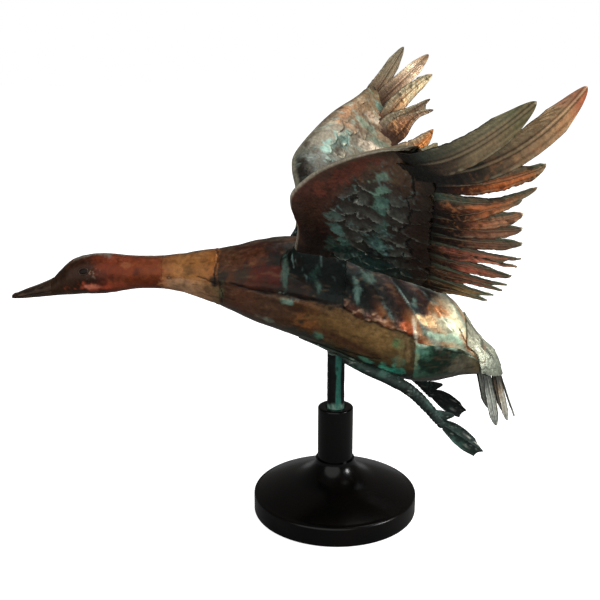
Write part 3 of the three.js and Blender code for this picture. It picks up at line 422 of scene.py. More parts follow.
# Patina of the body: x in mm, degrees round from the crown, radii in mm and degrees, colour, strength
bodySpots = [
    # The first three spots, pale grey along the crown of the head and neck, are painted reflection on the top
    # surface
    (-262, 0, 36, 24, "#7a7266", 0.85), (-200, 0, 50, 12, "#6f665a", 0.7), (-150, 0, 40, 10, "#6a5844", 0.6),
    (-266, 55, 20, 30, "#33190c", 0.8), (-266, 93, 16, 20, "#2a160b", 0.9),
    (-284, 80, 13, 60, "#332013", 0.85), (-245, 121, 27, 17, "#b85034", 0.95),
    (-257, 117, 10, 10, "#e08468", 0.9), (-243, 112, 4, 8, "#6b1e12", 0.85),
    (-252, 101, 5, 6, "#2a120b", 0.9), (-248, 106, 3, 5, "#5c1a10", 0.85), (-221, 52, 7, 11, "#8f5434", 0.7),
    (-208, 79, 6, 16, "#4f1f0e", 0.85), (-238, 75, 13, 30, "#622814", 0.6),
    (-195, 60, 15, 40, "#74391d", 0.5), (-225, 120, 18, 30, "#7c3f26", 0.6),
    (-153, 69, 9, 14, "#5b3c1c", 0.7), (-140, 50, 15, 24, "#8a5a2c", 0.5), (-128, 34, 5, 34, "#8f5828", 0.8),
    (-160, 120, 20, 22, "#b08a66", 0.8), (-171, 128, 10, 12, "#b88e6a", 0.7),
    # The last spot on the next row, near-black round the wing's root, is dark patina and painted shade under
    # the wing
    (-138, 116, 13, 20, "#8f6a4a", 0.6), (-30, 58, 56, 38, "#0c1714", 0.97),
    (-119, 74, 7, 24, "#241c12", 0.9), (-120, 108, 4, 24, "#55553c", 0.8), (-127, 88, 5, 12, "#1b150c", 0.9),
    (-108, 42, 13, 22, "#4f2f1a", 0.8), (-99, 69, 11, 13, "#28241a", 0.8), (-72, 67, 20, 15, "#461509", 0.9),
    (-84, 40, 12, 14, "#57301a", 0.7), (-54, 60, 3.5, 24, "#3f5a50", 0.75),
    # The last spot on the next row, near-black below the wing, is dark patina and painted shade under the
    # wing
    (-39, 77, 13, 12, "#1d130d", 0.8), (-20, 59, 4, 22, "#4d6a60", 0.75), (4, 42, 24, 24, "#08120f", 0.92),
    (-8, 36, 12, 12, "#142b25", 0.7), (19, 62, 4, 13, "#5c7a70", 0.75), (32, 37, 8, 7, "#3f554b", 0.7),
    (-80, 6, 40, 12, "#4c4236", 0.6), (-98, 112, 20, 26, "#5e3826", 0.6), (-62, 112, 28, 16, "#553c2c", 0.7),
    (-50, 98, 7, 4, "#7b9c8c", 0.95), (-74, 134, 7, 6, "#7a7c6b", 0.8), (-30, 115, 15, 13, "#8a5730", 0.8),
    (-19, 131, 5, 8, "#4d8066", 0.9), (8, 104, 44, 13, "#725631", 0.85), (45, 98, 24, 10, "#80633a", 0.75),
    (13, 121, 36, 7, "#4c3022", 0.75), (-44, 103, 14, 5, "#2a1c12", 0.7), (62, 97, 6, 6, "#54744a", 0.8),
    (66, 118, 7, 6, "#57755a", 0.75), (0, 155, 60, 22, "#2c352e", 0.8), (56, 140, 14, 9, "#2fae90", 0.85),
    (50, 142, 7, 4, "#79bfa8", 0.6), (65, 139, 6, 5, "#1f7563", 0.7), (30, 136, 9, 5, "#3f7d66", 0.85),
    (66, 104, 3, 16, "#7a6a44", 0.7), (86, 99, 8, 4, "#5f9480", 0.6), (108, 116, 24, 20, "#0f1f16", 0.9),
    (132, 120, 16, 20, "#6a6250", 0.7), (73, 101, 3, 14, "#a08458", 0.6),
]
# Cracks in the sheet: points as x and degrees round, then width in mm
bodyCracks = [
    ([(-144, 82), (-137, 85), (-128, 93)], 0.9), ([(-126, 8), (-124, 40), (-127, 70), (-128, 93)], 0.8),
    ([(-122, 93), (-119, 110), (-121, 135)], 0.7), ([(-3, 140), (20, 133), (44, 125)], 0.8),
    ([(-111, 84), (-92, 89), (-74, 92)], 1.2), ([(-74, 92), (-46, 91), (5, 81)], 1.6),
    ([(129, 60), (134, 70), (137, 82), (145, 78)], 0.8), ([(110, 93), (126, 97), (140, 92)], 0.7),
]
degreeMm = 0.72  # about how long a degree round the body is


def bodyLook(base, turn, points):
    x = points[..., 0]
    degrees = fromCrown(turn)
    # the right side, away from the camera, has the same patina in other places
    left = np.sin(turn) < 0
    shift = np.where(left, 0, noise(points, 60, 31) * 14)
    paint = base(x, degrees, points)
    moved = points + vec(shift, 0, 0) + np.where(left, 0, 48.5)[..., None]
    paint = spots(paint, x + shift, degrees, bodySpots, moved, 0.42, 3)
    low = cloud(points, 16, 8)
    paint = lay(paint, "#18130e", 0.5 * ramp(low, 0.35, 1.1))
    paint = lay(paint, "#a96c40", 0.12 * ramp(-low, 0.5, 1.2))
    # painted highlight: a white flash on the torn lip of the seam under the wing
    flash = fromLine(x + 2 * noise(points, 5, 3), degrees, [(-60, 88), (-38, 94)])
    paint = lay(paint, "#a8b8b0", 0.8 * (1 - ramp(flash, 0.5, 1.8)) * ramp(noise(points, 2.5, 9), -0.3, 0.2))
    crack = np.zeros(x.shape)
    wander = noise(points, 4, 12) * 1.1
    for line, width in bodyCracks:
        far = fromLine(x + wander, degrees * degreeMm, [(a, b * degreeMm) for a, b in line])
        crack = np.maximum(crack, 1 - ramp(far, width * 0.5, width * 1.4))
    paint = lay(paint, "#0e0a07", 0.9 * crack)
    # scratches along the body, dark and light ones
    scratched = ramp(x, -200, -150)
    paint = lay(paint, "#20130b", 0.4 * scratched * ramp(noise(points * [0.25, 1, 1], 2.6, 41), 0.4, 0.7))
    paint = lay(paint, "#b98f66", 0.08 * scratched * ramp(noise(points * [0.25, 1, 1], 2.6, 42), 0.35, 0.75))
    return paint, crack


# A sheet of the body between two values of x and two turns: base gives its colours and relief its height
def bodyShell(name, spanX, spanTurn, base, relief, slotName, node):
    # joints that the photograph doesn't show stay nearly closed
    joint = shellJoint * 0.16
    # the points' distance along and round the body, and a usual radius; they lie closer on the head
    alongStep, roundStep, radius = (1.0, 1.0, 20) if spanX[1] < -180 else (1.4, 1.5, 44)
    rows = int((spanX[1] - spanX[0]) / alongStep) + 3
    cols = int((spanTurn[1] - spanTurn[0]) * radius / roundStep) + 3
    a, b = gridOf(rows, cols)
    t = mixed(alongBody(spanX[0] + joint), alongBody(spanX[1] - joint), a)
    edge = joint / through(bodySections, t)[..., 3]
    turn = mixed(spanTurn[0] + edge, spanTurn[1] - edge, b)
    place = skin(t, turn)
    normal = skinNormal(t, turn)
    paint, crack = bodyLook(base, turn, place)
    raised = relief(place[..., 0], fromCrown(turn), place)
    dents = 0.35 * cloud(place, 13, 5, 2) + 0.12 * noise(place, 4, 9)
    outer = place + normal * (raised + dents - 0.7 * crack)[..., None]
    inner = place + normal * (dents - bodySheet)[..., None]
    plate(name, outer, inner, paint, lookOf(bodyCopper, slotName, node))


belt = math.pi / 2


def sleeveTone(x, degrees, points):
    top = gradient("#86532e #946334 #8f5e30 #804c24", (x + 183) / 60)
    low = gradient("#b87a50 #c4906a #a87c54 #6c563a", (x + 183) / 60)
    return mixed(top, low, ramp(degrees + 6 * noise(points, 8, 2), 84, 102)[..., None])


# The lighter patina of the sleeve begins with a ragged edge a little behind the joint
def sleeveShare(x, points):
    return ramp(x + 5 * noise(points, 9, 2) + 4 * noise(points, 3, 5), -186, -179)[..., None]


def headBase(x, degrees, points):
    paint = gradient("#32200f #38200f #6a2b10 #6f3013 #703416", (x + 300) / 117)
    flecks = ramp(noise(points, 1.8, 8) + 0.4 * noise(points, 5, 9), 0.45, 0.8)
    flecks = flecks * hill(x + 258, 12, degrees - 84, 24)
    paint = lay(paint, "#b3a08c", 0.7 * flecks)
    return mixed(paint, sleeveTone(x, degrees, points), sleeveShare(x, points))


def headRelief(x, degrees, points):
    # brow over the eye, the eye's hollow, the cheek below it, and the line where the bill begins
    brow = 0.8 * hill(x + 264, 9, degrees - 52, 8)
    socket = -0.7 * hill(x + 264, 7, degrees - 70, 12)
    cheek = 0.9 * hill(x + 256, 14, degrees - 112, 22)
    lores = -0.5 * hill(x + 290, 6, degrees - 75, 30)
    behindEye = hill(x + 254, 6, degrees - 72, 14)
    wrinkle = 0.35 * np.sin((degrees - 75) / 2.6 + x / 3) * behindEye
    return brow + socket + cheek + lores + wrinkle


print("head")
for side, spanTurn in (("right", (0, math.pi)), ("left", (-math.pi, 0))):
    bodyShell(f"head_{side}_half", (-300, -183), spanTurn, headBase, headRelief,
              "copper_head", f"head_{side}")

print("neck sleeve")


# How far a point is from the rivet on each side of the sleeve, in mm
def fromRivet(x, degrees):
    return np.hypot(x + 175, (degrees - 93) * 0.34)


def sleeveBase(x, degrees, points):
    paint = mixed(plain("#703416", x.shape), sleeveTone(x, degrees, points), sleeveShare(x, points))
    return lay(paint, "#2b190e", 0.85 * hill(fromRivet(x, degrees) - 1.7, 0.8))


def sleeveRelief(x, degrees, points):
    # a raised band at the rear end, and one rivet on each side in a small hollow
    band = 0.5 * ramp(x, -128.5, -127.5) * (1 - ramp(x, -125.5, -124))
    far = fromRivet(x, degrees)
    rivet = 0.9 * np.sqrt(np.clip(1 - (far / 2.1) ** 2, 0, 1)) - 0.25 * hill(far - 2.8, 0.6)
    ripple = 0.25 * np.sin((x + 150) / 4.5 + 2 * noise(points, 14, 3))
    return band + rivet + ripple


for word, node, spanTurn in (("top", "upper", (-belt, belt)), ("bottom", "lower", (belt, 3 * belt))):
    bodyShell(f"sleeve_{word}", (-183, -123), spanTurn, sleeveBase, sleeveRelief,
              "copper_sleeve", f"sleeve_{node}")

print("mantle and breast")


def breastBase(x, degrees, points):
    side = gradient("#4a3122 #4a3223 #573820 #614729 #5f4a2b #52432a", (x + 123) / 203)
    low = gradient("#42322a #453a2e #3f3c2e #2d342a #2b372f", (x + 123) / 203)
    return mixed(side, low, ramp(degrees + 9 * noise(points, 20, 2), 122, 150)[..., None])


def mantleBase(x, degrees, points):
    paint = gradient("#452a17 #401c0d #28150c #18120c #0b100c", (x + 123) / 128)
    line = np.interp(x, [-46, 0, 5], [92, 84, 81]) + 1.5 * noise(points, 9, 3)
    return mixed(paint, breastBase(x, degrees, points), ramp(degrees, line, line + 1.5)[..., None])


def mantleRelief(x, degrees, points):
    lip = 0.6 * (1 - ramp(np.abs(degrees - 84), 1.5, 4))
    # soft folds that run back from the neck to the wings
    folds = 0.8 * np.sin(degrees / 7 + x / 26 + 1.5 * noise(points, 30, 6)) * ramp(x, -110, -60)
    return lip + folds * (1 - ramp(degrees, 70, 88))


bodyShell("mantle", (-123, 5), (-belt, belt), mantleBase, mantleRelief, "copper_mantle", "mantle_shell")


def breastRelief(x, degrees, points):
    # raised lips along the crack under the wing, scratches, and a crumpled flange at the rear end
    lip = 0.9 * hill(degrees - 96, 2.5) * ramp(x, -80, -60) * (1 - ramp(x, -10, 5))
    scratch = 0.2 * np.sin(degrees / 1.9 + 5 * noise(points, 30, 7)) * ramp(x, -60, 20)
    flange = ramp(x, 72, 75) * (1.0 + 0.9 * noise(points, 4, 6)) * (1 - ramp(degrees, 125, 140))
    return lip + scratch + flange


bodyShell("breast", (-123, 80), (belt, 3 * belt), breastBase, breastRelief, "copper_breast", "breast_shell")

print("back and vent")


# The back's ragged lower edge, in degrees round; below it the breast's gold shows
def raggedLine(points):
    x = points * [1, 0, 0]
    return 82 + 3 * noise(x, 16, 17) + 2 * noise(x, 5, 18) + 1.2 * noise(x, 2.2, 19)


# Patina of the rump, as the body's above
rumpSpots = [
    (106, 46, 9, 9, "#a8652f", 0.85), (94, 64, 13, 7, "#d9b27c", 0.6), (122, 60, 14, 12, "#c9ccaa", 0.7),
    (112, 78, 26, 5, "#9fbfa4", 0.8), (137, 74, 4, 12, "#a0602c", 0.85),
]


def backBase(x, degrees, points):
    crest, shown, place = ridges(x, degrees)
    # from one raised edge to the next: grey-green behind it, then dark, red, and orange up to the crest
    step = (place + 0.1 * cloud(points, 16, 3)) % 1
    dark = gradient("#16211e #0a0c0a #0f0a07 #200f09 #2f180e #1c120d", step)
    light = gradient("#54645a #321e14 #4c2010 #9a5526 #c98a58 #7f583c", step)
    pale = gradient("#a8b49c #9c9a84 #ad8c6a #bfa884 #c0ba9a #b6b698", step)
    low = ramp(degrees + 8 * noise(points, 14, 7) + 0.4 * (x - 60), 52, 88)
    paint = mixed(dark, light, low[..., None])
    rear = ramp(x + 0.3 * (degrees - 45) + 8 * noise(points, 16, 9), 92, 118)
    paint = mixed(paint, pale, rear[..., None])
    # near black towards the front, under the wing: dark patina and painted shade
    front = 1 - ramp(x - 0.35 * (60 - degrees) + 9 * noise(points, 14, 5), 16, 52)
    paint = lay(paint, "#0a1412", 0.9 * front)
    # painted highlight: pale grey along the top edge of the rump
    crown = 1 - ramp(degrees + 6 * noise(points, 14, 8), 8, 20)
    paint = lay(paint, "#6b726a", 0.6 * crown * ramp(x, 60, 90))
    crestLine = ramp(crest + 0.08 * noise(points, 9, 12), 0.76, 0.96) * shown
    paint = lay(paint, "#7f9a93", 0.6 * crestLine * ramp(noise(points, 15, 11), -0.5, 0.1))
    # the back's front edge is torn too
    torn = np.abs(x - 9 - 3 * noise(points, 8, 21)) * 0.5 + np.maximum(52 - degrees, 0) * 0.1
    paint = lay(paint, "#8a5236", 0.8 * (1 - ramp(torn, 0.5, 1.8)) * ramp(creases(points, 4, 22), 0.8, 1.2))
    drips = cloud(points * [1, 0.4, 0.4], 9, 15)
    paint = lay(paint, "#4d6e66", 0.5 * ramp(drips, 0.6, 1.1) * (1 - rear) * (1 - ramp(degrees, 60, 80)))
    paint = spots(paint, x, degrees, rumpSpots, points, 0.42, 4)
    # crumpled lower edge with painted highlights (glints on the crumples, a near-white line at the flange)
    # and a bright copper patch, and the breast's gold below it
    line = raggedLine(points)
    near = ramp(degrees, line - 12, line - 4) * (1 - ramp(x, 84, 96))
    paint = lay(paint, "#52281a", 0.6 * near)
    # painted highlights: glints on the crumples
    glints = creases(points * [0.4, 1, 1], 4, 14)
    paint = lay(paint, "#c9a283", 0.7 * near * ramp(glints, 0.75, 1.25) * ramp(noise(points, 7, 16), -0.7, 0))
    patch = np.hypot((x - 72) / 9, (degrees - 76) / 7) + 0.3 * noise(points, 5, 2)
    paint = lay(paint, "#9c4a22", 0.9 * (1 - ramp(patch, 0.6, 1.2)))
    # painted highlight: a near-white line at the flange
    flash = 1 - ramp(np.abs(x - 79 - 0.12 * (degrees - 76)), 0.8, 2.6)
    paint = lay(paint, "#e8dcc0", 0.9 * flash * ramp(degrees, 60, 70))
    below = ramp(degrees, line, line + 1) * (1 - ramp(x, 78, 84))
    paint = mixed(paint, breastBase(x, degrees, points), below[..., None])
    # painted shadow: a dark line just under the ragged edge
    return lay(paint, "#0c0805", 0.9 * hill(degrees - line - 1.2, 1.1) * (1 - ramp(x, 78, 84)))


def backRelief(x, degrees, points):
    # barbs across the raised edges, and a crumpled lower edge over the breast
    crest, shown = ridges(x, degrees)[:2]
    barbs = 0.25 * np.sin(degrees / 1.7 + 3 * noise(points, 12, 4)) * ramp(crest, 0.1, 0.7) * shown
    line = raggedLine(points)
    front = 1 - ramp(x, 84, 96)
    near = ramp(degrees, line - 16, line - 3) * front
    crumple = near * (1.3 * creases(points * [0.6, 1, 1], 5, 14) - 0.7 + 0.5 * noise(points, 2.6, 15))
    over = 1 - ramp(degrees, line - 0.6, line + 0.6) * front
    copperTear = 0.8 * hill(x - 137, 5, degrees - 76, 8)
    return (2.2 * crest ** 1.4 * shown + barbs + crumple + 1.1 * near + copperTear) * over


for side, spanTurn in (("right", (0, belt)), ("left", (-belt, 0))):
    bodyShell(f"back_{side}_half", (5, 152), spanTurn, backBase, backRelief, "copper_back", f"back_{side}")


def ventBase(x, degrees, points):
    side = gradient("#376753 #22402f #2c3e2e #7a6d50", (x - 80) / 72)
    under = ramp(degrees + 7 * noise(points, 12, 3), 128, 150)
    paint = mixed(side, plain("#3c3a33", x.shape), under[..., None])
    # a pale, ragged rim under the back's edge
    rim = 1 - ramp(degrees + 2 * noise(points, 7, 4) + 1.5 * noise(points, 2.5, 5), 91.5, 95)
    paint = lay(paint, "#a9c4ac", 0.85 * rim * ramp(noise(points, 9, 6), -0.5, 0.1))
    # pale beside the breast's flange, with a ragged edge
    front = 1 - ramp(x + 3 * noise(points, 7, 7) + 2 * noise(points, 2.5, 8), 81.5, 85.5)
    return lay(paint, "#8d9a78", 0.8 * front * (1 - ramp(degrees, 112, 132)))


def ventRelief(x, degrees, points):
    rim = 0.8 * (1 - ramp(degrees, 93, 99)) * creases(points, 5, 8)
    return 0.8 * hill(x - 82.5, 1.4) + 0.5 * noise(points, 9, 4) + rim


bodyShell("vent", (80, 152), (belt, 3 * belt), ventBase, ventRelief, "copper_belly", "vent_shell")


# The belly plate: a leaf under the body from front to rear, spread to each side of the lowest line
def bellyPlate():
    user = {"front": -40, "rear": 74, "spread": 0.62, "thick": 1.6, "end": 0.04, "hole": 9.8}
    a, b = gridOf(90, 70)
    t = alongBody(mixed(user["front"], user["rear"], a))
    full = np.sin(math.pi * mixed(user["end"], 1 - user["end"], a))
    turn = math.pi + mixed(-1, 1, b) * user["spread"] * full ** 0.7
    middle = skin(t, turn)
    normal = skinNormal(t, turn)
    paint = bodyLook(lambda x, degrees, points: plain("#42554a", x.shape), turn, middle)[0]
    scratch = ramp(noise(middle * [1, 6, 6], 9, 3), 0.25, 0.6)
    paint = lay(paint, "#9fb0a2", 0.6 * scratch)
    patch = np.hypot((middle[..., 0] - 55) / 17, (np.abs(turn - math.pi) - 0.5) / 0.28)
    paint = lay(paint, "#2fb093", 0.95 * (1 - ramp(patch + 0.35 * noise(middle, 6, 4), 0.6, 1.1)))
    dents = 0.5 * cloud(middle, 9, 8, 3)
    thick = user["thick"] * mixed(0.5, 1, full)
    outer = middle + normal * (2 * seam + thick + 0.3 * dents)[..., None]
    inner = middle + normal * (2 * seam)
    # the post's hole is a notch in the plate's points: they are pushed out to the hole's edge
    for grid in (outer, inner):
        push = np.maximum(user["hole"] / np.maximum(np.hypot(grid[..., 0], grid[..., 1]), 1e-3), 1)
        grid[..., :2] *= push[..., None]
    plate("belly", outer, inner, paint, lookOf(bodyCopper, "copper_belly", "belly_plate"))


bellyPlate()


# Rows from 0 to 1 and turns round a closed ring of `cols` points
def ringGrid(rows, cols):
    turn = np.linspace(0, 2 * math.pi, cols, endpoint=False)
    return np.meshgrid(np.linspace(0, 1, rows), turn, indexing="ij")


# Bill: oval rings from the face to the tip, with a mouth line, nostrils and a nail at the tip
def bill():
    user = {"length": 45, "tipWidth": 5.5, "tipDrop": 4.5}
    x0, crown, belly, faceHalf = through(bodySections, np.array(0.0))
    k, turn = ringGrid(110, 120)
    turn = turn - math.pi
    nose = np.sqrt(np.clip(1 - ((k - 0.9) / 0.1) ** 2, 0, 1))
    half = mixed(faceHalf, user["tipWidth"], k ** 0.8) * np.where(k > 0.9, mixed(0.2, 1, nose), 1)
    top = mixed(crown, belly + 1.6, k ** 0.85)
    low = belly - user["tipDrop"] * k
    tall = (top - low) / 2 * np.where(k > 0.9, mixed(0.5, 1, nose), 1) * mixed(1, 0.7, ramp(k, 0.6, 1))
    degrees = fromCrown(turn)
    mouth = hill(degrees - 104 + 8 * k, 3.2) * (1 - ramp(k, 0.9, 0.98))
    nostril = hill(k - 0.27, 0.05, degrees - 52, 9)
    ridge = 0.5 * hill(degrees, 14)
    nail = 0.5 * hill(k - 0.93, 0.04) * (1 - ramp(degrees, 50, 90))
    inward = 0.9 * mouth + 0.9 * nostril - ridge - nail
    height = (top + low) / 2 + tall * np.cos(turn)
    points = vec(x0 - seam / 2 - k * user["length"], half * np.sin(turn), height)
    out = vec(0, np.sin(turn), np.cos(turn))
    points = points - out * (inward + 0.2 * noise(points, 5, 2))[..., None]
    paint = gradient("#38281d #33241a #2c1f17 #2a1d15", k)
    paint = lay(paint, "#7c7264", 0.55 * ramp(-degrees, -26, -8))
    paint = lay(paint, "#54402f", 0.6 * ramp(noise(points * [1, 4, 4], 12, 5), 0.2, 0.6))
    paint = lay(paint, "#120c08", 0.85 * mouth + 0.8 * nostril)
    tube("bill_copper", points, paint, lookOf(bodyCopper, "copper_bill", "bill"))


# Eyes: an almond lens with a rim round it, set on the head
def eye(side, sign):
    user = {"x": -264, "turn": 1.22, "length": 11.5, "height": 6.5, "dome": 1.4}
    t0 = alongBody(user["x"])
    perMm = 0.02 / (skin(t0 + 0.01, np.array(0.0))[0] - skin(t0 - 0.01, np.array(0.0))[0])
    girth = through(bodySections, t0)[3]
    # r goes from the rim at 1 to the middle
    r, a = ringGrid(40, 64)
    r = 1 - r * 0.97
    almond = 1 - 0.22 * np.abs(np.cos(a)) ** 6
    t = t0 + user["length"] / 2 * r * np.cos(a) * perMm
    turn = sign * user["turn"] + user["height"] / 2 * r * np.sin(a) * almond / girth
    rim = hill(r - 0.88, 0.09)
    ball = np.sqrt(np.clip(1 - (r / 0.78) ** 2, 0, 1))
    lift = 0.35 + 0.75 * rim + user["dome"] * 0.75 * ball
    top = skin(t, turn) + skinNormal(t, turn) * lift[..., None]
    foot = (skin(t, turn) + skinNormal(t, turn) * 0.05)[:1]
    ringR = np.concatenate([r[:1], r])
    paint = plain("#2b1910", ringR.shape)
    paint = lay(paint, "#5a4a3e", 0.8 * hill(ringR - 0.88, 0.08))
    paint = lay(paint, "#120b08", ramp(-ringR, -0.72, -0.6))
    look = lookOf(bodyCopper, "copper_bill", f"eye_{side}")
    tube(f"eye_{side}_copper", np.concatenate([foot, top]), paint, look)


print("bill and eyes")
bill()
eye("right", 1)
eye("left", -1)


# Wings: leading and rear edges of the skins, on the right side; the left wing is its mirror image

wingLead = [[-44, 42, 314], [-41, 62, 338], [-44, 80, 354], [-48, 100, 370], [-45, 117, 384], [-24, 146, 406],
            [0, 188, 423], [26, 226, 435], [42, 268, 441]]
wingRear = [[84, 56, 278], [83, 74, 292], [81, 96, 309], [78, 120, 328], [74, 146, 346], [70, 176, 366],
            [66, 212, 390], [62, 250, 415], [57, 287, 438]]
wingUser = {"camber": 9, "rollRoot": 12, "rollHand": 3.4, "archEnd": 0.7, "sheet": 1.0, "blade": 1.2}


def leadAt(s):
    return through(wingLead, s)


def rearAt(s):
    return through(wingRear, s)


# The direction out of the wing's upper face: square to the chord and to the wing's length
def wingUp(s, step=0.01):
    a, b = np.minimum(s + step, 1), np.maximum(s - step, 0)
    return unit(np.cross(rearAt(s) - leadAt(s), leadAt(a) + rearAt(a) - leadAt(b) - rearAt(b)))


# Middle surface of a wing: straight from the leading edge at t = 0 to the rear edge at t = 1, plus an arch
# that is highest at a third of archEnd and flat beyond archEnd
def wingMiddle(s, t):
    k = np.minimum(t / wingUser["archEnd"], 1)
    arch = 6.75 * k * (1 - k) ** 2 * wingUser["camber"] * (1 - 0.5 * s)
    return leadAt(s) + (rearAt(s) - leadAt(s)) * t[..., None] + wingUp(s) * arch[..., None]


# Half the gap from the middle surface to a skin: a round nose, fading to a thin rear edge
def skinRise(s, t, tailing):
    bulge = mixed(wingUser["rollRoot"], wingUser["rollHand"], smooth(s)) * (1 - 0.9 * ramp(s, 0.88, 1))
    nose = np.sqrt(t) * (1 - t) ** tailing
    peak = 0.5 / (tailing + 0.5)
    full = np.sqrt(peak) * (1 - peak) ** tailing
    rear = (wingUser["blade"] / 2 + seam + wingUser["sheet"]) * (1 - 0.45 * ramp(s, 0.95, 1))
    return seam / 2 + (rear - seam / 2) * (1 - (1 - t) ** 3) + bulge * nose / full


# A face of the wing: over is 1 for the upper skin and -1 for the lower
def wingFace(s, t, over):
    return wingMiddle(s, t) + wingUp(s) * (over * skinRise(s, t, 1.6 if over > 0 else 3.5))[..., None]


mirror = np.array([1, -1, 1])

# Patina of the lower skin, as s from body to hand and t from leading to rear edge, radii, colour, strength
lowerSpots = [
    (0.1, 0.16, 0.2, 0.16, "#1c1512", 0.8), (0.35, 0.12, 0.16, 0.1, "#3d2a1e", 0.7),
    (0.5, 0.2, 0.16, 0.1, "#4a2c1e", 0.75), (0.7, 0.17, 0.17, 0.09, "#7a4232", 0.85),
    (0.8, 0.34, 0.1, 0.1, "#6b4e3b", 0.8), (0.83, 0.52, 0.08, 0.13, "#6b543e", 0.8),
    (0.75, 0.43, 0.04, 0.06, "#82a08a", 0.95), (0.69, 0.53, 0.045, 0.06, "#71957f", 0.95),
    (0.61, 0.62, 0.05, 0.05, "#54796c", 0.9), (0.48, 0.69, 0.07, 0.035, "#3f6258", 0.85),
    (0.29, 0.66, 0.08, 0.05, "#4f756c", 0.9), (0.41, 0.33, 0.05, 0.06, "#5f756c", 0.85),
    (0.28, 0.33, 0.05, 0.05, "#4f6f65", 0.9), (0.17, 0.36, 0.06, 0.06, "#44665c", 0.9),
    (0.13, 0.27, 0.06, 0.06, "#31463c", 0.85), (0.3, 0.62, 0.07, 0.05, "#40605a", 0.85),
    # The last spot on the next row and the first on the row after it, near-black at the wing's root, are dark
    # patina and painted shade under the wing
    (0.43, 0.67, 0.06, 0.05, "#4a5a52", 0.8), (0.15, 0.62, 0.12, 0.16, "#101a17", 0.85),
    (0.06, 0.6, 0.07, 0.3, "#16302b", 0.8), (0.95, 0.3, 0.05, 0.25, "#3b3d2e", 0.8),
    (0.9, 0.78, 0.07, 0.14, "#3f3628", 0.7), (0.6, 0.92, 0.12, 0.08, "#33241b", 0.8),
]
# A crack in the lower skin beside the blades' roots, as s and t
rootCrack = [(0.99, 0.3), (0.94, 0.5), (0.86, 0.66), (0.78, 0.8), (0.66, 0.86), (0.5, 0.84), (0.4, 0.9),
             (0.2, 0.88)]
# Patina of the upper skin, in the same way
upperSpots = [
    (0.3, 0.08, 0.13, 0.07, "#2f271f", 0.95), (0.12, 0.14, 0.14, 0.14, "#35322a", 0.85),
    (0.36, 0.22, 0.09, 0.08, "#5c584d", 0.8), (0.35, 0.32, 0.08, 0.08, "#3b3d33", 0.8),
    (0.54, 0.25, 0.06, 0.07, "#86a598", 0.9), (0.6, 0.36, 0.05, 0.06, "#74968a", 0.85),
    (0.74, 0.18, 0.07, 0.09, "#a87c58", 0.85), (0.68, 0.4, 0.03, 0.12, "#a98566", 0.8),
    (0.8, 0.66, 0.03, 0.26, "#d0b398", 0.85), (0.74, 0.62, 0.03, 0.22, "#8fa088", 0.85),
    (0.69, 0.8, 0.025, 0.2, "#75846f", 0.85), (0.64, 0.74, 0.035, 0.25, "#dccab2", 0.95),
    (0.9, 0.86, 0.04, 0.14, "#6a9482", 0.8), (0.88, 0.45, 0.05, 0.12, "#a0805e", 0.8),
    (0.96, 0.55, 0.03, 0.14, "#6f9a84", 0.85), (0.3, 0.6, 0.12, 0.12, "#66776c", 0.7),
    (0.1, 0.5, 0.1, 0.2, "#5c5a48", 0.7), (0.45, 0.8, 0.12, 0.12, "#7d6a4c", 0.7),
]


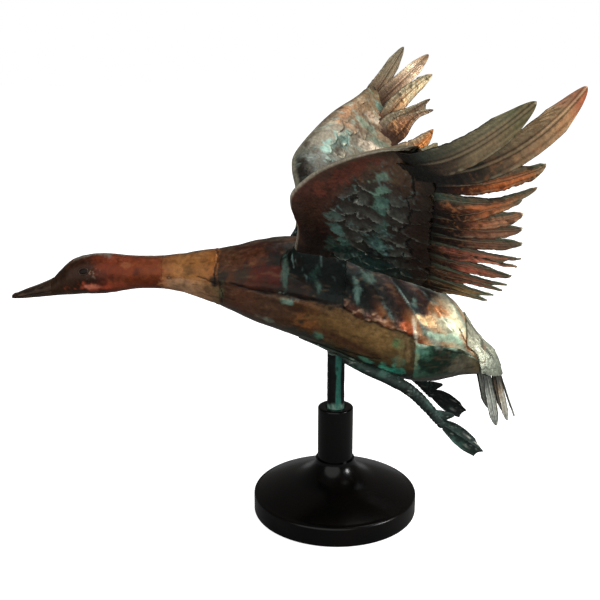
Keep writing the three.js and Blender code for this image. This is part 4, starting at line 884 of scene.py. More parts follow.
def wingSkin(over, side):
    s, k = gridOf(225, 150)
    t = k ** 1.7
    base = wingFace(s, t, over)
    normal = normalsOf(base)
    normal = normal * np.sign((normal * wingUp(s)).sum(-1))[..., None] * over
    warp = noise(base, 26, 3)
    rough = cloud(base, 7, 51, 3)
    bumps = cloud(base, 14, 8)
    if over > 0:
        # lapped feathers: small ones by the leading edge, long ones to the rear
        bow, height = 0.62, 1.1
        u = s * 15 + 1.2 * t + 0.3 * warp + 0.12 * rough
        v = 7 * t ** 0.8 + 0.4 * warp - 0.12 * rough
        shown = ramp(t, 0.12, 0.3) * ramp(s, 0.16, 0.32) * (1 - ramp(s, 0.8, 0.95))
        shown = shown * mixed(0.25, 1, ramp(noise(base, 22, 41), -0.3, 0.3))
    else:
        # the underside's feathers lap towards the body, below a broad smooth roll
        bow, height = 0.45, 3.0
        u = t * 3.7 + 0.35 * warp + 0.12 * rough
        v = (1 - s) * 9.5 + 0.45 * warp + 0.5 * t - 0.15 * rough
        shown = ramp(t, 0.24, 0.36) * (1 - ramp(s, 0.66, 0.8)) * mixed(1, 0.5, ramp(t, 0.75, 1))
    number, along, across = scales(u, v, bow)
    free, above = scaleEdges(along, across, bow)
    quill = hill(across, 0.09) * ramp(along, 0.05, 0.4)
    barbs = np.sin(along * 30 + np.abs(across) * 14 + byNumber(number) * 6)
    uneven = 0.7 + 0.6 * byNumber(number, 1)
    relief = height * uneven * ((along - 0.2) ** 2 - 0.4) + 0.2 * quill + 0.08 * barbs
    relief = relief * shown + 0.55 * bumps
    if over < 0:
        # shallow ripples beside the hand, and a rolled ridge below the leading edge
        ripple = np.sin(t * 34 + 4 * warp + 6 * s) * ramp(s, 0.62, 0.75)
        relief = relief + 0.45 * ripple * ramp(t, 0.2, 0.35)
        relief = relief + 1.1 * hill(t - 0.27 - 0.05 * warp, 0.035) * (1 - ramp(s, 0.6, 0.8))
    relief = relief * ramp(t, 0, 0.02)
    outer = base + normal * relief[..., None]
    inner = base - normal * wingUser["sheet"] + normal * np.minimum(relief, 0)[..., None]
    # at the nose the inner side moves back along the chord, as the CAD's does
    chord = unit(rearAt(s) - leadAt(s))
    nose = (1 - ramp(t, 0, 0.02))[..., None]
    inner = mixed(inner, base + chord * wingUser["sheet"], nose)
    # the skin's end at the hand and its rear edge are torn: they reach over the blades by uneven millimetres
    hand, rear = vec(t * 120, 0, 0), vec(s * 300, 0, 0)
    tear = 4 + 8 * noise(hand, 13, 21) + 4 * noise(hand, 5, 22) + 1.6 * noise(hand, 2, 23)
    tear = tear * ramp(s, 0.9, 1.0) * ramp(t, 0.1, 0.2)
    rearTear = 3 + 5 * noise(rear, 17, 24) + 3 * noise(rear, 7, 25) + 1.5 * noise(rear, 2.5, 26)
    rearTear = rearTear * ramp(t, 0.86, 1) * ramp(s, 0.04, 0.1) * (1 - ramp(s, 0.96, 1))
    shift = unit(np.gradient(base, axis=0)) * tear[..., None] + chord * rearTear[..., None]
    outer, inner = outer + shift, inner + shift
    # edge is the rolled leading edge, painted pale below as a highlight
    edge = 1 - ramp(t, 0.002, 0.03)
    # gap is painted shade just beyond the edge of the scale that laps over; lip, below, is a painted
    # highlight on each scale's free edge
    gap = shown * (1 - ramp(above, 0.02, 0.22))
    tint = (1 + shown * 0.3 * (byNumber(number, 2) - 0.5))[..., None]
    if over > 0:
        paint = gradient("#34332d #484b44 #666c64 #7f7766 #94785a #86704e", s)
        paint = lay(paint, "#33302a", 0.85 * ramp(0.22 * warp - s, -0.24, -0.06) * ramp(t, 0.02, 0.1))
        paint = spots(paint, s, t, upperSpots, base, 0.5, 5)
        # thin strokes of verdigris run across the feathers
        stroke = ramp(noise(base * [0.35, 1, 1], 6, 31) + 0.6 * noise(base * [0.4, 1, 1], 2.5, 32), 0.1, 0.8)
        stroke = stroke * ramp(s, 0.2, 0.36) * ramp(noise(base, 26, 45), -0.5, 0.2)
        paint = lay(paint, "#a9c2b4", 0.4 * stroke)
        paint = lay(paint, "#3a2a1c", 0.6 * ramp(cloud(base, 16, 44), 0.2, 0.8))
        chalk = ramp(noise(base * [0.4, 1, 1], 5, 46), 0.3, 0.8) * ramp(s, 0.45, 0.6)
        paint = lay(paint, "#d8cdb0", 0.3 * chalk)
        paint = paint * mixed(0.4, 0.92, ramp(s, 0.16, 0.56))[..., None]
        # painted highlight along the rolled leading edge
        paint = lay(paint, "#97937f", edge * 0.8) * tint
        # painted highlight on the scales' free edges, and painted shade under the edges that lap over
        lip = (1 - ramp(free, 0.03, 0.2)) * shown
        paint = lay(paint, "#c9bda0", 0.6 * lip * ramp(noise(base, 9, 35), -0.3, 0.3))
        paint = lay(paint, "#1c1b16", 0.8 * gap)
    else:
        paint = gradient("#3b2a21 #4a2c20 #58352a #5c4434 #453c2e", s)
        paint = lay(paint, "#2b312c", 0.8 * shown)
        # painted light and patina: the scales pale to grey-green towards their free ends, chalky there and
        # lit as raised ends
        paleMarks = shown * ramp(along, 0.7, 1.4) * ramp(noise(base, 12, 36), -0.3, 0.4)
        paint = lay(paint, "#7e857b", 0.4 * paleMarks)
        paint = lay(paint, "#1b1510", 0.7 * ramp(t + 0.04 * warp, 0.8, 0.98))
        paint = spots(paint, s, t, lowerSpots, base, 0.5, 6)
        # painted highlight along the rolled leading edge
        paint = lay(paint, "#b4ab96", edge * 0.9) * tint
        broken = noise(base, 5, 34)
        # painted highlight on the scales' free edges, and painted shade under the edges that lap over
        lip = (1 - ramp(free, 0.02, 0.14)) * shown
        paint = lay(paint, "#a3a89c", 0.6 * lip * ramp(broken + 0.4 * warp, -0.3, 0.4))
        paint = lay(paint, "#060706", 0.9 * gap * ramp(broken, -0.6, 0))
        # thin strokes of verdigris run down over the feathers
        stroke = ramp(noise(base * [1, 1, 0.3], 3.5, 31) + 0.6 * noise(base * [1, 1, 0.4], 1.8, 32), 0.3, 0.8)
        stroke = stroke * ramp(noise(base, 24, 33), -0.3, 0.3)
        paint = lay(paint, "#71908a", 0.6 * stroke * ramp(t, 0.2, 0.34) * (1 - ramp(t, 0.8, 0.92)))
        # a jagged crack beside the blades' roots
        jag = 0.05 * noise(rear, 14, 5) + 0.025 * noise(rear, 4, 6)
        crack = 1 - ramp(fromLine(s, t + jag, rootCrack), 0.006, 0.016)
        paint = lay(paint, "#0a0806", 0.95 * crack)
        outer = outer - normal * (1.2 * crack)[..., None]
    paint = paint * (1 + 0.22 * noise(base, 2.2, 13))[..., None]
    if side == "left":
        outer, inner = outer * mirror, inner * mirror
    word = "upper" if over > 0 else "lower"
    look = lookOf(wingCopper, "copper_wing", f"wing_{word}_skin_{side}", sharp=70)
    plate(f"wing_{word}_sheet_{side}", outer, inner, paint, look)


print("wing skins")
for side in ("right", "left"):
    wingSkin(1, side)
    wingSkin(-1, side)


# Feather blades: where each starts between the skins, a point it bends towards, its tips and half width, how
# crumpled it is, and its colours from root to tip on the lower and the upper face
blades = [
    {"start": (0.86, 0.3), "bend": (58, 331, 425), "tips": [(104, 405, 489)], "half": 12.5, "crumple": 0.15,
     "low": "#241e17 #5a4c3a #857458 #75704f", "top": "#8a6a50 #9c7c60 #8f7f66 #6f6a58"},
    {"start": (0.83, 0.55), "bend": (89, 394, 431), "tips": [(139, 388, 497)], "half": 12, "crumple": 0.4,
     "low": "#1c1813 #3c342a #6c5c48 #94785a #94704e #8c3a26", "top": "#a8683f #c09a7c #cdb294 #a07c58"},
    {"start": (0.79, 0.72), "bend": (101, 314, 418), "tips": [(129, 339, 441)], "half": 10, "crumple": 1.0,
     "low": "#1a1510 #7a4128 #cc7442 #b87248 #8f7a5c", "top": "#b0622f #d8a878 #e0cba0 #a0946f"},
    {"start": (0.715, 0.74), "tips": [(128, 322, 422), (126, 287, 407)], "half": 11.5, "crumple": 0.8,
     "low": "#211913 #53372a #c07248 #c48458 #8f8a70", "top": "#7a4a30 #865838 #7c6048 #5f584c"},
    {"start": (0.625, 0.74), "tips": [(131, 269, 392)], "half": 12, "crumple": 1.0,
     "low": "#211813 #4a3328 #a8684a #c48a66 #7f7f6c", "top": "#95502c #d07c3c #d88a4a #b8682c"},
    {"start": (0.55, 0.74), "tips": [(135, 252, 377)], "half": 12.5, "crumple": 0.4,
     "low": "#211813 #44302a #8a5a44 #ac7a5e #7a7c68", "top": "#8a4028 #a55a38 #aba07c #a09064"},
    {"start": (0.475, 0.74), "tips": [(141, 230, 360)], "half": 13, "crumple": 0.4,
     "low": "#201712 #44302a #805744 #967058 #74745f", "top": "#98502f #987650 #958c60 #8a7c50"},
    {"start": (0.385, 0.74), "tips": [(146, 207, 341), (147, 190, 330)], "half": 11, "crumple": 0.8,
     "low": "#201611 #4f3028 #c06e58 #cd8468 #7f6c54", "top": "#7a4a30 #9c6a44 #8f7a50 #706c48"},
    {"start": (0.29, 0.74), "tips": [(148, 165, 315)], "half": 13.5, "crumple": 0.7,
     "low": "#1e1410 #63322a #c86a54 #94624c #6a604c", "top": "#705034 #8f5c3a #7f7c55 #606c4a"},
    {"start": (0.195, 0.74), "tips": [(150, 141, 300), (151, 117, 288)], "half": 11, "crumple": 0.4,
     "low": "#1a130f #4a2c1f #8a5540 #53634b", "top": "#604e3a #7a583e #707254 #52604a"},
    {"start": (0.075, 0.74), "tips": [(149, 88, 275), (148, 62, 262)], "half": 11, "crumple": 0.3,
     "low": "#18130f #41301f #84683f #4d5e4e", "top": "#524636 #6a5440 #5e644e #4a5a46"},
]
# Where the far wing's blades lie otherwise
rightBlades = {
    2: {"tips": [(137, 388, 480)]},
    3: {"start": (0.79, 0.9), "bend": (88, 280, 434), "tips": [(136, 339, 456)], "half": 12},
    4: {"start": (0.715, 0.9), "bend": (94, 262, 413), "tips": [(133, 322, 426), (133, 287, 415)]},
}
# The two blades at the hand are broad, whole and bright; the others are more worn
handBlade = {"taper": 0.74, "dull": 0.35, "rim": 0.95, "nick": 0.06}
otherBlade = {"taper": 0.6, "dull": 0.85, "rim": 0.82, "nick": 0.16}
# glitter holds the colours of the painted highlights on the crumples
bladeFinish = {"tilt": 0.13, "edges": ["#5d7462", "#77705a"], "quill": ["#a8987a", "#4a3826"],
               "glitter": ["#f09a5c", "#f0b070"], "bright": [1.5, 1.0], "dullFrom": (0, 0.45)}


# The lines near the edges of a blade with one tip end sooner, which rounds the tip
def pointed(k, a):
    return k * (1 - 0.17 * np.abs(a) ** 1.9)


# A blade's middle surface: k from root to tip, a across from -1 to 1. Each line along it is a quadratic
# curve by way of the knee; the width eases out of the skins and tapers; a forked blade has a quill in each of
# its two fingers and a notch between them
def bladeSurface(user, k, a, edge):
    start, knee, up = user["start"], user["knee"], user["up"]
    tips, held, tilt = user["tips"], user["held"], user["tilt"]
    middleTip = (tips[0] + tips[-1]) / 2

    def spine(tip, q):
        q = q[..., None]
        return mixed(mixed(start, knee, q), mixed(knee, tip, q), q)

    # how free of the skins the blade is at q, its half width, and its directions across and up
    def frameAt(q):
        free = smooth((q - held) / 0.3)
        width = user["half"] * mixed(0.75, 1, free) * mixed(1, user["taper"], np.clip((q - 0.4) / 0.5, 0, 1))
        run = unit(spine(middleTip, q + 0.05) - spine(middleTip, q - 0.05))
        side = unit(np.cross(run, up))
        turn = (tilt * free)[..., None]
        return free, width, side * np.cos(turn) + np.cross(run, side) * np.sin(turn), np.cross(side, run)

    if len(tips) == 1:
        q = pointed(k, a)
        free, width, side, lift = frameAt(q)
        return spine(middleTip, q) + side * (a * width * edge)[..., None], lift, free, np.abs(a)

    def finger(q, across):
        width, side = frameAt(q)[1:3]
        spread = spine(middleTip, q) + side * (across * 2 * width * (1 - q * 0.15) * edge)[..., None]
        tip = np.where((across < 0)[..., None], tips[0], tips[1])
        own = spine(tip, q) + side * ((across - np.sign(across) / 2) * width * edge)[..., None]
        return mixed(spread, own, smooth((q - held) / (0.9 - held))[..., None])

    # across each finger: its outer half, its inner half, and the web from there to the notch between them
    away = np.abs(a)
    inner = np.clip((0.5 - away) / 0.25, 0, 1)
    apart = np.linalg.norm(spine(tips[0], k) - spine(tips[1], k), axis=-1)
    free, width, side, lift = frameAt(k)
    room = np.minimum(0.5, 0.42 * apart / np.maximum(width, 1e-6)) * smooth((k - 0.4) / 0.3)
    across = np.where(away > 0.5, np.maximum(away, 0.5), 0.5 - inner * room)
    fromQuill = np.clip(np.abs(away - 0.5) / np.where(away > 0.5, 0.5, 0.25), 0, 1)
    place = finger(k * (1 - 0.14 * fromQuill ** 2.2), np.where(a < 0, -1, 1) * across)
    notch = spine(middleTip, k * 0.74)
    place = mixed(notch, place, np.clip(away / 0.25, 0, 1)[..., None])
    inside = mixed(0.7, 1.6, ramp(k, 0.5, 0.72))
    return place, lift, free, np.clip(np.abs(2 * away - 1) * np.where(away < 0.5, inside, 1), 0, 1)


# One blade: colours is its lower and its upper face's, each from root to tip
def bladePiece(name, user, colours, look, seed, side):
    single = len(user["tips"]) == 1
    k, b = gridOf(150, 41 if single else 65)
    a = b * 2 - 1
    spot = vec(k * 70 + seed * 13, np.sign(a) * 5, 0)
    nicks = ramp(k, 0.35, 0.6) * np.maximum(noise(spot, 2.6, seed), 0) * ramp(np.abs(a), 0.5, 1)
    # off is 0 on the quill and 1 at the blade's edge
    place, lift, free, off = bladeSurface(user, k, a, 1 - user["nick"] * nicks)
    crumple = user["crumple"]
    quill = 0.75 * hill(off, 0.1) * free
    barb = np.sin((k * user["length"] - off * 9) / 1.15 + 1.2 * noise(place, 7, seed + 5))
    groove = np.sin(off * 13 + 2 * noise(place, 9, seed + 7))
    groove = 0.16 * barb * ramp(off, 0.08, 0.2) + 0.22 * groove * ramp(off, 0.15, 0.3)
    folds = crumple * (0.9 * creases(place, 8, seed) - 0.6) * free
    half = wingUser["blade"] / 2 - 0.15
    bend = -0.5 * free * off ** 2 + folds * 0.8 + 0.25 * cloud(place, 14, seed + 2, 2)
    bend = bend * ramp(k, user["held"], user["held"] + 0.12)
    top = place + lift * (bend + half + quill + 0.5 * groove * free)[..., None]
    low = place + lift * (bend - half - quill * 0.7 - 0.5 * groove * free)[..., None]
    # along is 0 where the blade leaves the skins and 1 at its tip
    along = ((pointed(k, a) if single else k) - user["held"]) / (1 - user["held"])
    # across each finger of a forked blade, as across the whole of a single one
    aside = a if single else mixed(a, np.where(a < 0, 2 * a + 1, 2 * a - 1), ramp(k, 0.5, 0.72))
    dull = ramp(-aside, *user["dullFrom"])
    # painted shade in the hollows of the crumples
    creaseShade = crumple * ramp(-creases(place, 8, seed), -0.15, 0.35) * ramp(along, 0.1, 0.3)
    # painted highlight: a pale line just inside each edge
    glint = hill(off - user["rim"] + 0.06, 0.06) * ramp(noise(place, 6, seed + 8), -0.2, 0.3)
    paints = []
    for face, colourList in enumerate(colours):
        mottled = along + 0.09 * cloud(place, 14, seed + face * 3) + 0.06 * (off - 0.5)
        paint = gradient(colourList, mottled * 0.96)
        streak = noise(vec(k * 25, a * 60, 0), 9, seed + 11 + face)
        lit = mixed(0.2, user["bright"][face], ramp(along, 0.1, 0.6))
        paint = paint * ((1 + 0.55 * streak) * lit)[..., None]
        # the side towards the hand is dull grey-green, the other is bare and bright
        paint = lay(paint, user["edges"][face], user["dull"] * dull * ramp(along, 0.02, 0.25))
        # painted highlights on the crumples' ridges
        glitter = crumple * ramp(creases(place, 6, seed + 2 + face), 0.85, 1.35) * ramp(along, 0.1, 0.35)
        paint = lay(paint, user["glitter"][face], 0.6 * glitter * (1 - 0.6 * dull))
        # painted shade in the crumples' hollows
        paint = lay(paint, "#1d120b", 0.6 * creaseShade)
        # painted highlight just inside the edge
        paint = lay(paint, "#c4b896", 0.6 * glint * ramp(along, 0.2, 0.45))
        paint = lay(paint, "#14100c", 0.6 * hill(off - 0.14, 0.05) * free)
        paint = lay(paint, user["quill"][face], 0.7 * hill(off, 0.07) * free)
        # painted shade: the very edge is dark, as the shadow in the gaps that part the blades from each other
        paints.append(lay(paint, "#100c09", 0.8 * ramp(off, user["rim"], 1) * ramp(along, 0, 0.2)))
    if side == "left":
        top, low = top * mirror, low * mirror
    plate(name, top, low, paints[1], look, paints[0])


def wingBlades(side):
    for number, row in enumerate(blades, 1):
        if side == "right":
            row = {**row, **rightBlades.get(number, {})}
        tips = [np.array(tip, float) for tip in row["tips"]]
        s, t = (np.array(float(v)) for v in row["start"])
        start = wingMiddle(s, t)
        aim = (tips[0] + tips[-1]) / 2 - start
        length = np.linalg.norm(aim)
        chord = rearAt(s) - leadAt(s)
        up = wingUp(s)
        out = mixed(unit(chord), unit(aim), 0.45)
        out = unit(out - up * np.dot(out, up))
        knee = np.array(row["bend"], float) if "bend" in row else start + out * length / 2
        kind = handBlade if number < 3 else otherBlade
        held = np.linalg.norm(chord) * (1 - t) / length
        user = {**bladeFinish, **kind, "start": start, "knee": knee, "up": up, "tips": tips, "held": held,
                "half": row["half"], "crumple": row["crumple"], "length": length}
        look = lookOf(featherCopper, "copper_feather", f"wing_feather_{number}_{side}", sharp=75)
        seed = number * 5 + (50 if side == "left" else 0)
        bladePiece(f"feather_{number}_{side}", user, [row["low"], row["top"]], look, seed, side)


print("feathers")
wingBlades("right")
wingBlades("left")


# Shoulders: rings from the wing's root section to an oval on the body's skin, swollen towards the body
def shoulder(side):
    user = {"chord": 0.4, "x": -24, "turn": 0.95, "long": 34, "round": 0.5, "sink": 3, "flare": 4, "half": 40}
    # half of a ring lies on the wing's upper side and half on its lower one, and k runs back from the nose
    half = user["half"]
    i = np.arange(2 * half)
    over = i < half
    k = np.where(over, i / (half - 1), (2 * half - 1 - i) / (half - 1))
    t = user["chord"] * k ** 1.6
    s = np.zeros(len(i))
    root = np.where(over[:, None], wingFace(s, t, 1), wingFace(s, t, -1))
    turn = math.pi * mixed(0.97, 0.16, k) * np.where(over, 1, -1)
    footT = alongBody(user["x"] + user["long"] * np.cos(turn))
    footTurn = user["turn"] - user["round"] * np.sin(turn)
    foot = skin(footT, footTurn) - skinNormal(footT, footTurn) * user["sink"]
    middle = wingMiddle(np.array(0.0), np.array(user["chord"] / 2))
    inward = unit(skin(alongBody(user["x"]), np.array(user["turn"])) - middle)
    q = np.linspace(0, 1, 60)[:, None]
    rings = mixed(root + inward * seam, foot, mixed(q, q * q, 0.5)[..., None])
    out = unit(rings - rings.mean(1, keepdims=True))
    swell = user["flare"] * ramp(q, 0.7, 1) ** 2 + 0.6 * cloud(rings, 10, 4, 3) * np.sin(math.pi * q)
    rings = rings + out * swell[..., None]
    # near-black teal-green: dark patina, and painted shade of the hollow under the wing
    paint = gradient("#141c19 #0d1512 #0b1210", np.broadcast_to(q, rings.shape[:2]))
    paint = lay(paint, "#2c4c44", 0.7 * ramp(cloud(rings, 12, 6), 0.3, 1.0))
    streak = noise(rings * [1.6, 1, 0.3], 6, 3) + 0.5 * noise(rings * [1.6, 1, 0.4], 2.5, 4)
    paint = lay(paint, "#6f8a84", 0.7 * ramp(streak, 0.45, 0.9))
    paint = lay(paint, "#1f130d", 0.6 * ramp(-cloud(rings, 15, 9), 0.2, 0.9))
    if side == "left":
        rings = rings * mirror
    # near the body it takes on the patina of the mantle or the back there
    x, y, z = np.moveaxis(rings, -1, 0)
    crown, belly, girth = np.moveaxis(through(bodySections, alongBody(x)), -1, 0)[1:]
    turn = np.arctan2(y / girth, (2 * z - crown - belly) / (crown - belly))
    onMantle, onBack = (bodyLook(base, turn, rings)[0] for base in (mantleBase, backBase))
    beside = mixed(onMantle, onBack, ramp(x, 4, 6)[..., None])
    paint = mixed(paint, beside, ramp(q + 0.1 * cloud(rings, 8, 14), 0.6, 0.85)[..., None])
    tube(f"shoulder_{side}_copper", rings, paint, lookOf(wingCopper, "copper_wing", f"shoulder_{side}"))


print("shoulders")
for side in ("right", "left"):
    shoulder(side)


# Tail: coverts as a sheet that starts on the body and curls down; blades under its end

# The coverts are the smooth surface through six lines across: two on the body, at x, and then four that fall
# behind it, as x and z in the middle, x at the edge, half width, and z at the edge
covertUser = {"onBody": [136, 146], "spread": 1.35}
covertFalls = [(158, 200.5, 149.5, 26.5, 188), (170.5, 188, 151, 27.2, 182), (177, 174.5, 152, 27.4, 177),
               (181, 161, 153, 27.4, 171)]


def covertPoint(row, w):
    if row < 2:
        t, turn = alongBody(covertUser["onBody"][row]) + 0 * w, w * covertUser["spread"]
        return skin(t, turn) + skinNormal(t, turn) * (seam + bodySheet)
    midX, midZ, edgeX, half, edgeZ = covertFalls[row - 2]
    return vec(mixed(midX, edgeX, w * w), half * w, mixed(midZ, edgeZ, w * w))


def coverts():
    u, b = gridOf(92, 126)
    w = b * 2 - 1
    lines = np.stack([covertPoint(row, w[0]).ravel() for row in range(2 + len(covertFalls))])
    base = through(lines, u[:, 0]).reshape(*u.shape, 3)
    # the outer side is the one that looks to the rear
    normal = normalsOf(base)
    normal = normal * np.sign(normal[..., 0].mean())
    along, across = scales(w * 4.5 + 0.2 * noise(base, 12, 2), u * 4.2, 0.6)[1:]
    quill = 0.3 * hill(across, 0.1)
    relief = 0.9 * (along - 0.7) + quill + 0.12 * np.sin(along * 26 + np.abs(across) * 12)
    relief = relief * ramp(u, 0.02, 0.2) + 0.3 * cloud(base, 8, 4, 3)
    fringe = 1.8 * noise(vec(w * 30, 0, 0), 2.2, 6) * ramp(u, 0.9, 1)
    fall = unit(np.gradient(base, axis=0)) * fringe[..., None]
    outer = base + normal * (0.25 + relief * 0.8)[..., None] + fall
    inner = base - normal * bodySheet + fall
    paint = gradient("#a09f88 #a8a892 #9a9e8a #868b7b #757a6c", u)
    paint = lay(paint, "#3a3c33", 0.75 * ramp(noise(base * [0.6, 2.2, 0.6], 9, 7), 0.25, 0.6))
    # painted shade just under the edge of each scale that laps over
    paint = lay(paint, "#2f3029", 0.6 * (1 - ramp(along, 0.02, 0.25)) * ramp(u, 0.1, 0.25))
    paint = lay(paint, "#b07a52", 0.6 * ramp(cloud(base, 14, 12), 0.5, 1.1) * (1 - ramp(u, 0.5, 0.8)))
    look = lookOf(wingCopper, "copper_tail", "tail_coverts", sharp=70)
    plate("tail_covert_sheet", outer, inner, paint, look)


# Five blades under the coverts' end: one in the middle, and two on each side of it
def tailBlades():
    user = {"grip": 9, "half": 6.6, "rows": [
        {"place": 0, "tip": (197, 0, 111), "colours": "#8d9289 #a6aaa0 #93968c #757870"},
        {"place": 0.42, "tip": (187, 12, 111), "colours": "#8d8e84 #bba78c #aaa596 #6f726a"},
        {"place": 0.84, "tip": (172.5, 25, 110.5), "colours": "#8a8f86 #a3a79d #8e9188 #5a5e58"}]}
    # glitter holds the colour of the painted highlights on the crumples
    finish = {"tilt": 0.0, "taper": 0.9, "crumple": 0.15, "edges": ["#0f100e", "#0f100e"],
              "quill": ["#c4c4b8", "#c8c9bd"], "glitter": ["#c9c9bd", "#c9c9bd"], "dull": 0.95, "rim": 0.93,
              "nick": 0.03, "bright": [1.1, 1.1], "dullFrom": (0.6, 0.75)}
    for side, i in ((-1, 1), (-1, 2), (1, 0), (1, 1), (1, 2)):
        row = user["rows"][i]
        w = np.array([side * row["place"]])
        edge = covertPoint(5, w)[0]
        fall = unit(edge - covertPoint(4, w)[0])
        across = unit(covertPoint(5, w + 0.05)[0] - covertPoint(5, w - 0.05)[0])
        up = unit(np.cross(fall, across))
        start = edge - fall * user["grip"] - up * (bodySheet + 2 * seam + wingUser["blade"] / 2)
        tip = np.array(row["tip"], float) * [1, side, 1]
        length = np.linalg.norm(tip - start)
        out = unit(mixed(fall, unit(tip - start), 0.45))
        blade = {**finish, "start": start, "knee": start + out * length / 2, "up": up, "tips": [tip],
                 "half": user["half"], "held": user["grip"] / length, "length": length}
        number = 3 + side * i
        look = lookOf(wingCopper, "copper_tail", f"tail_feather_{number}", sharp=75)
        bladePiece(f"tail_blade_{number}", blade, [row["colours"]] * 2, look, 120 + number, "right")


print("tail")
coverts()
tailBlades()


# Legs: ovals along a bent line; feet: three ridged toes with webs, a hind toe and a knobbly ankle

# A leg's ovals: middle, half width and half height
legRows = [[8, 17, 186, 6, 6], [31, 25, 176, 7, 6.5], [52, 31, 168, 6.8, 6.6], [70, 34.5, 159.5, 6.2, 6.4],
           [84, 37.5, 149.5, 5.8, 6.1], [98, 40.5, 135, 5.4, 5.6], [109, 42.5, 122.5, 5.2, 5.2]]


def legPaint(points, seed, side):
    paint = plain("#26322e", points.shape[:2])
    paint = lay(paint, "#33554b", 0.75 * ramp(cloud(points, 12, seed), 0.1, 0.9))
    paint = lay(paint, "#10110f", 0.7 * ramp(cloud(points, 9, seed + 3), 0.2, 0.9))
    # pale worn streaks along the leg
    paleMarks = noise(points * [0.3, 1.4, 1.4], 3, seed + 5) + 0.5 * noise(points, 2, seed + 6)
    paint = lay(paint, "#a9b3a6", 0.35 * ramp(paleMarks, 0.5, 1.1))
    # the right leg is nearly black all over
    return paint * 0.3 if side == "right" else paint


# Rings of `cols` points round the ovals of `rows`, at the places k of the line through them
def ovalRings(rows, cols, k):
    line = through(rows, k)[:, None]
    ahead = through(rows, np.minimum(k + 0.01, 1))[:, :3] - through(rows, np.maximum(k - 0.01, 0))[:, :3]
    run = unit(ahead)[:, None]
    side = unit(np.cross(run, [0, 0, 1]))
    lift = np.cross(side, run)
    a = np.linspace(0, 2 * math.pi, cols, endpoint=False)
    wide, tall = line[..., 3] * np.cos(a), line[..., 4] * np.sin(a)
    return line[..., :3] + side * wide[..., None] + lift * tall[..., None], a


def leg(side):
    k = np.linspace(0, 1, 150)[:, None]
    rings, a = ovalRings(legRows, 64, k[:, 0])
    out = unit(rings - rings.mean(1, keepdims=True))
    scaly = 0.25 * np.sin(k * 150 + 2 * noise(rings, 9, 4)) * ramp(k, 0.45, 0.65)
    tendon = 0.5 * hill(np.cos(a) - 0.6, 0.2) * ramp(k, 0.4, 0.6)
    rings = rings + out * (scaly + tendon + 0.35 * cloud(rings, 9, 6, 3))[..., None]
    # the hind toe is a flat fin on the leg's end
    user = {"root": (105.5, 41.9, 128.5), "tip": (123.5, 44.5, 130.5), "radius": 7, "flat": 0.4}
    fin = [[*mixed(np.array(user["root"]), np.array(user["tip"]), q), user["radius"] * r * user["flat"],
            user["radius"] * r] for q, r in ((0, 1), (0.5, 0.75), (0.85, 0.4), (1, 0.15))]
    toe = ovalRings(fin, 40, np.linspace(0, 1, 50))[0]
    toe = toe + unit(toe - toe.mean(1, keepdims=True)) * (0.3 * cloud(toe, 5, 3, 3))[..., None]
    look = lookOf(legCopper, "copper_leg", f"leg_{side}")
    for word, grid, seed in (("leg", rings, 3), ("hind_toe", toe, 9)):
        paint = legPaint(grid, seed, side)
        tube(f"{word}_{side}_copper", grid * mirror if side == "left" else grid, paint, look)


# A foot: straight lines from the ankle to a line through the three tips, bowed apart, a little shorter in the
# webs, and thicker along each toe
def foot(side):
    user = {"ankle": (110.5, 42.8, 120.5), "ball": 5.2, "thick": 2.2, "ridge": 1.2, "start": 0.04, "roots": 5,
            "bow": 4, "web": 0.965, "toes": [(146, 50, 106), (154, 56, 94.5), (145, 52, 87.5)]}
    heel = np.array(user["ankle"])
    tips = np.array(user["toes"], float)
    plane = unit(np.cross(tips[0] - heel, tips[2] - heel))
    k, b = gridOf(86, 80)
    toe = b * 2  # 0, 1 and 2 are the toes, halves the webs
    i = np.minimum(np.floor(toe).astype(int), 1)
    f = toe - i
    reach = k * (1 - (1 - user["web"]) * np.sin(math.pi * f))
    tip = mixed(tips[i], tips[i + 1], f[..., None])
    aside = (b - 0.5) * 2 * (user["roots"] * (1 - k) + user["bow"] * np.sin(math.pi * k))
    place = mixed(heel, tip, mixed(user["start"], 1, reach)[..., None])
    place = place + unit(tips[2] - tips[0]) * aside[..., None]
    onToe = hill(np.minimum(f, 1 - f), 0.13)
    joints = 0.75 + 0.25 * np.cos(k * 2 * math.pi * 3)
    ridge = 2 * user["ridge"] * onToe * (1 - 0.6 * k) * joints
    crumple = 0.7 * cloud(place, 7, 5, 3)
    top = place + plane * (user["thick"] / 2 + ridge * 0.7 + crumple * 0.5)[..., None]
    low = place - plane * (user["thick"] / 2 + ridge * 0.4 - crumple * 0.5)[..., None]
    paint = legPaint(place, 7, side)
    # painted highlights: pale slits in the webs towards the toes' ends
    slit = (1 - ramp(np.abs(f - 0.5), 0.05, 0.2)) * ramp(k, 0.45, 0.9)
    paint = lay(paint, "#cfd2c4", 0.5 * slit * ramp(noise(place, 5, 3), -0.2, 0.4))
    turn = np.linspace(0.02, math.pi - 0.02, 40)[:, None]
    a = np.linspace(0, 2 * math.pi, 48, endpoint=False)
    ball = heel + user["ball"] * vec(np.cos(turn), np.sin(turn) * np.cos(a), np.sin(turn) * np.sin(a))
    ball = ball + unit(ball - heel) * (0.6 * cloud(ball, 5, 8, 3))[..., None]
    ballPaint = legPaint(ball, 9, side)
    if side == "left":
        top, low, ball = top * mirror, low * mirror, ball * mirror
    look = lookOf(legCopper, "copper_leg", f"foot_{side}")
    plate(f"foot_{side}_web", top, low, paint, look)
    tube(f"foot_{side}_ankle", ball, ballPaint, look)


print("legs and feet")
for side in ("right", "left"):
    leg(side)
    foot(side)


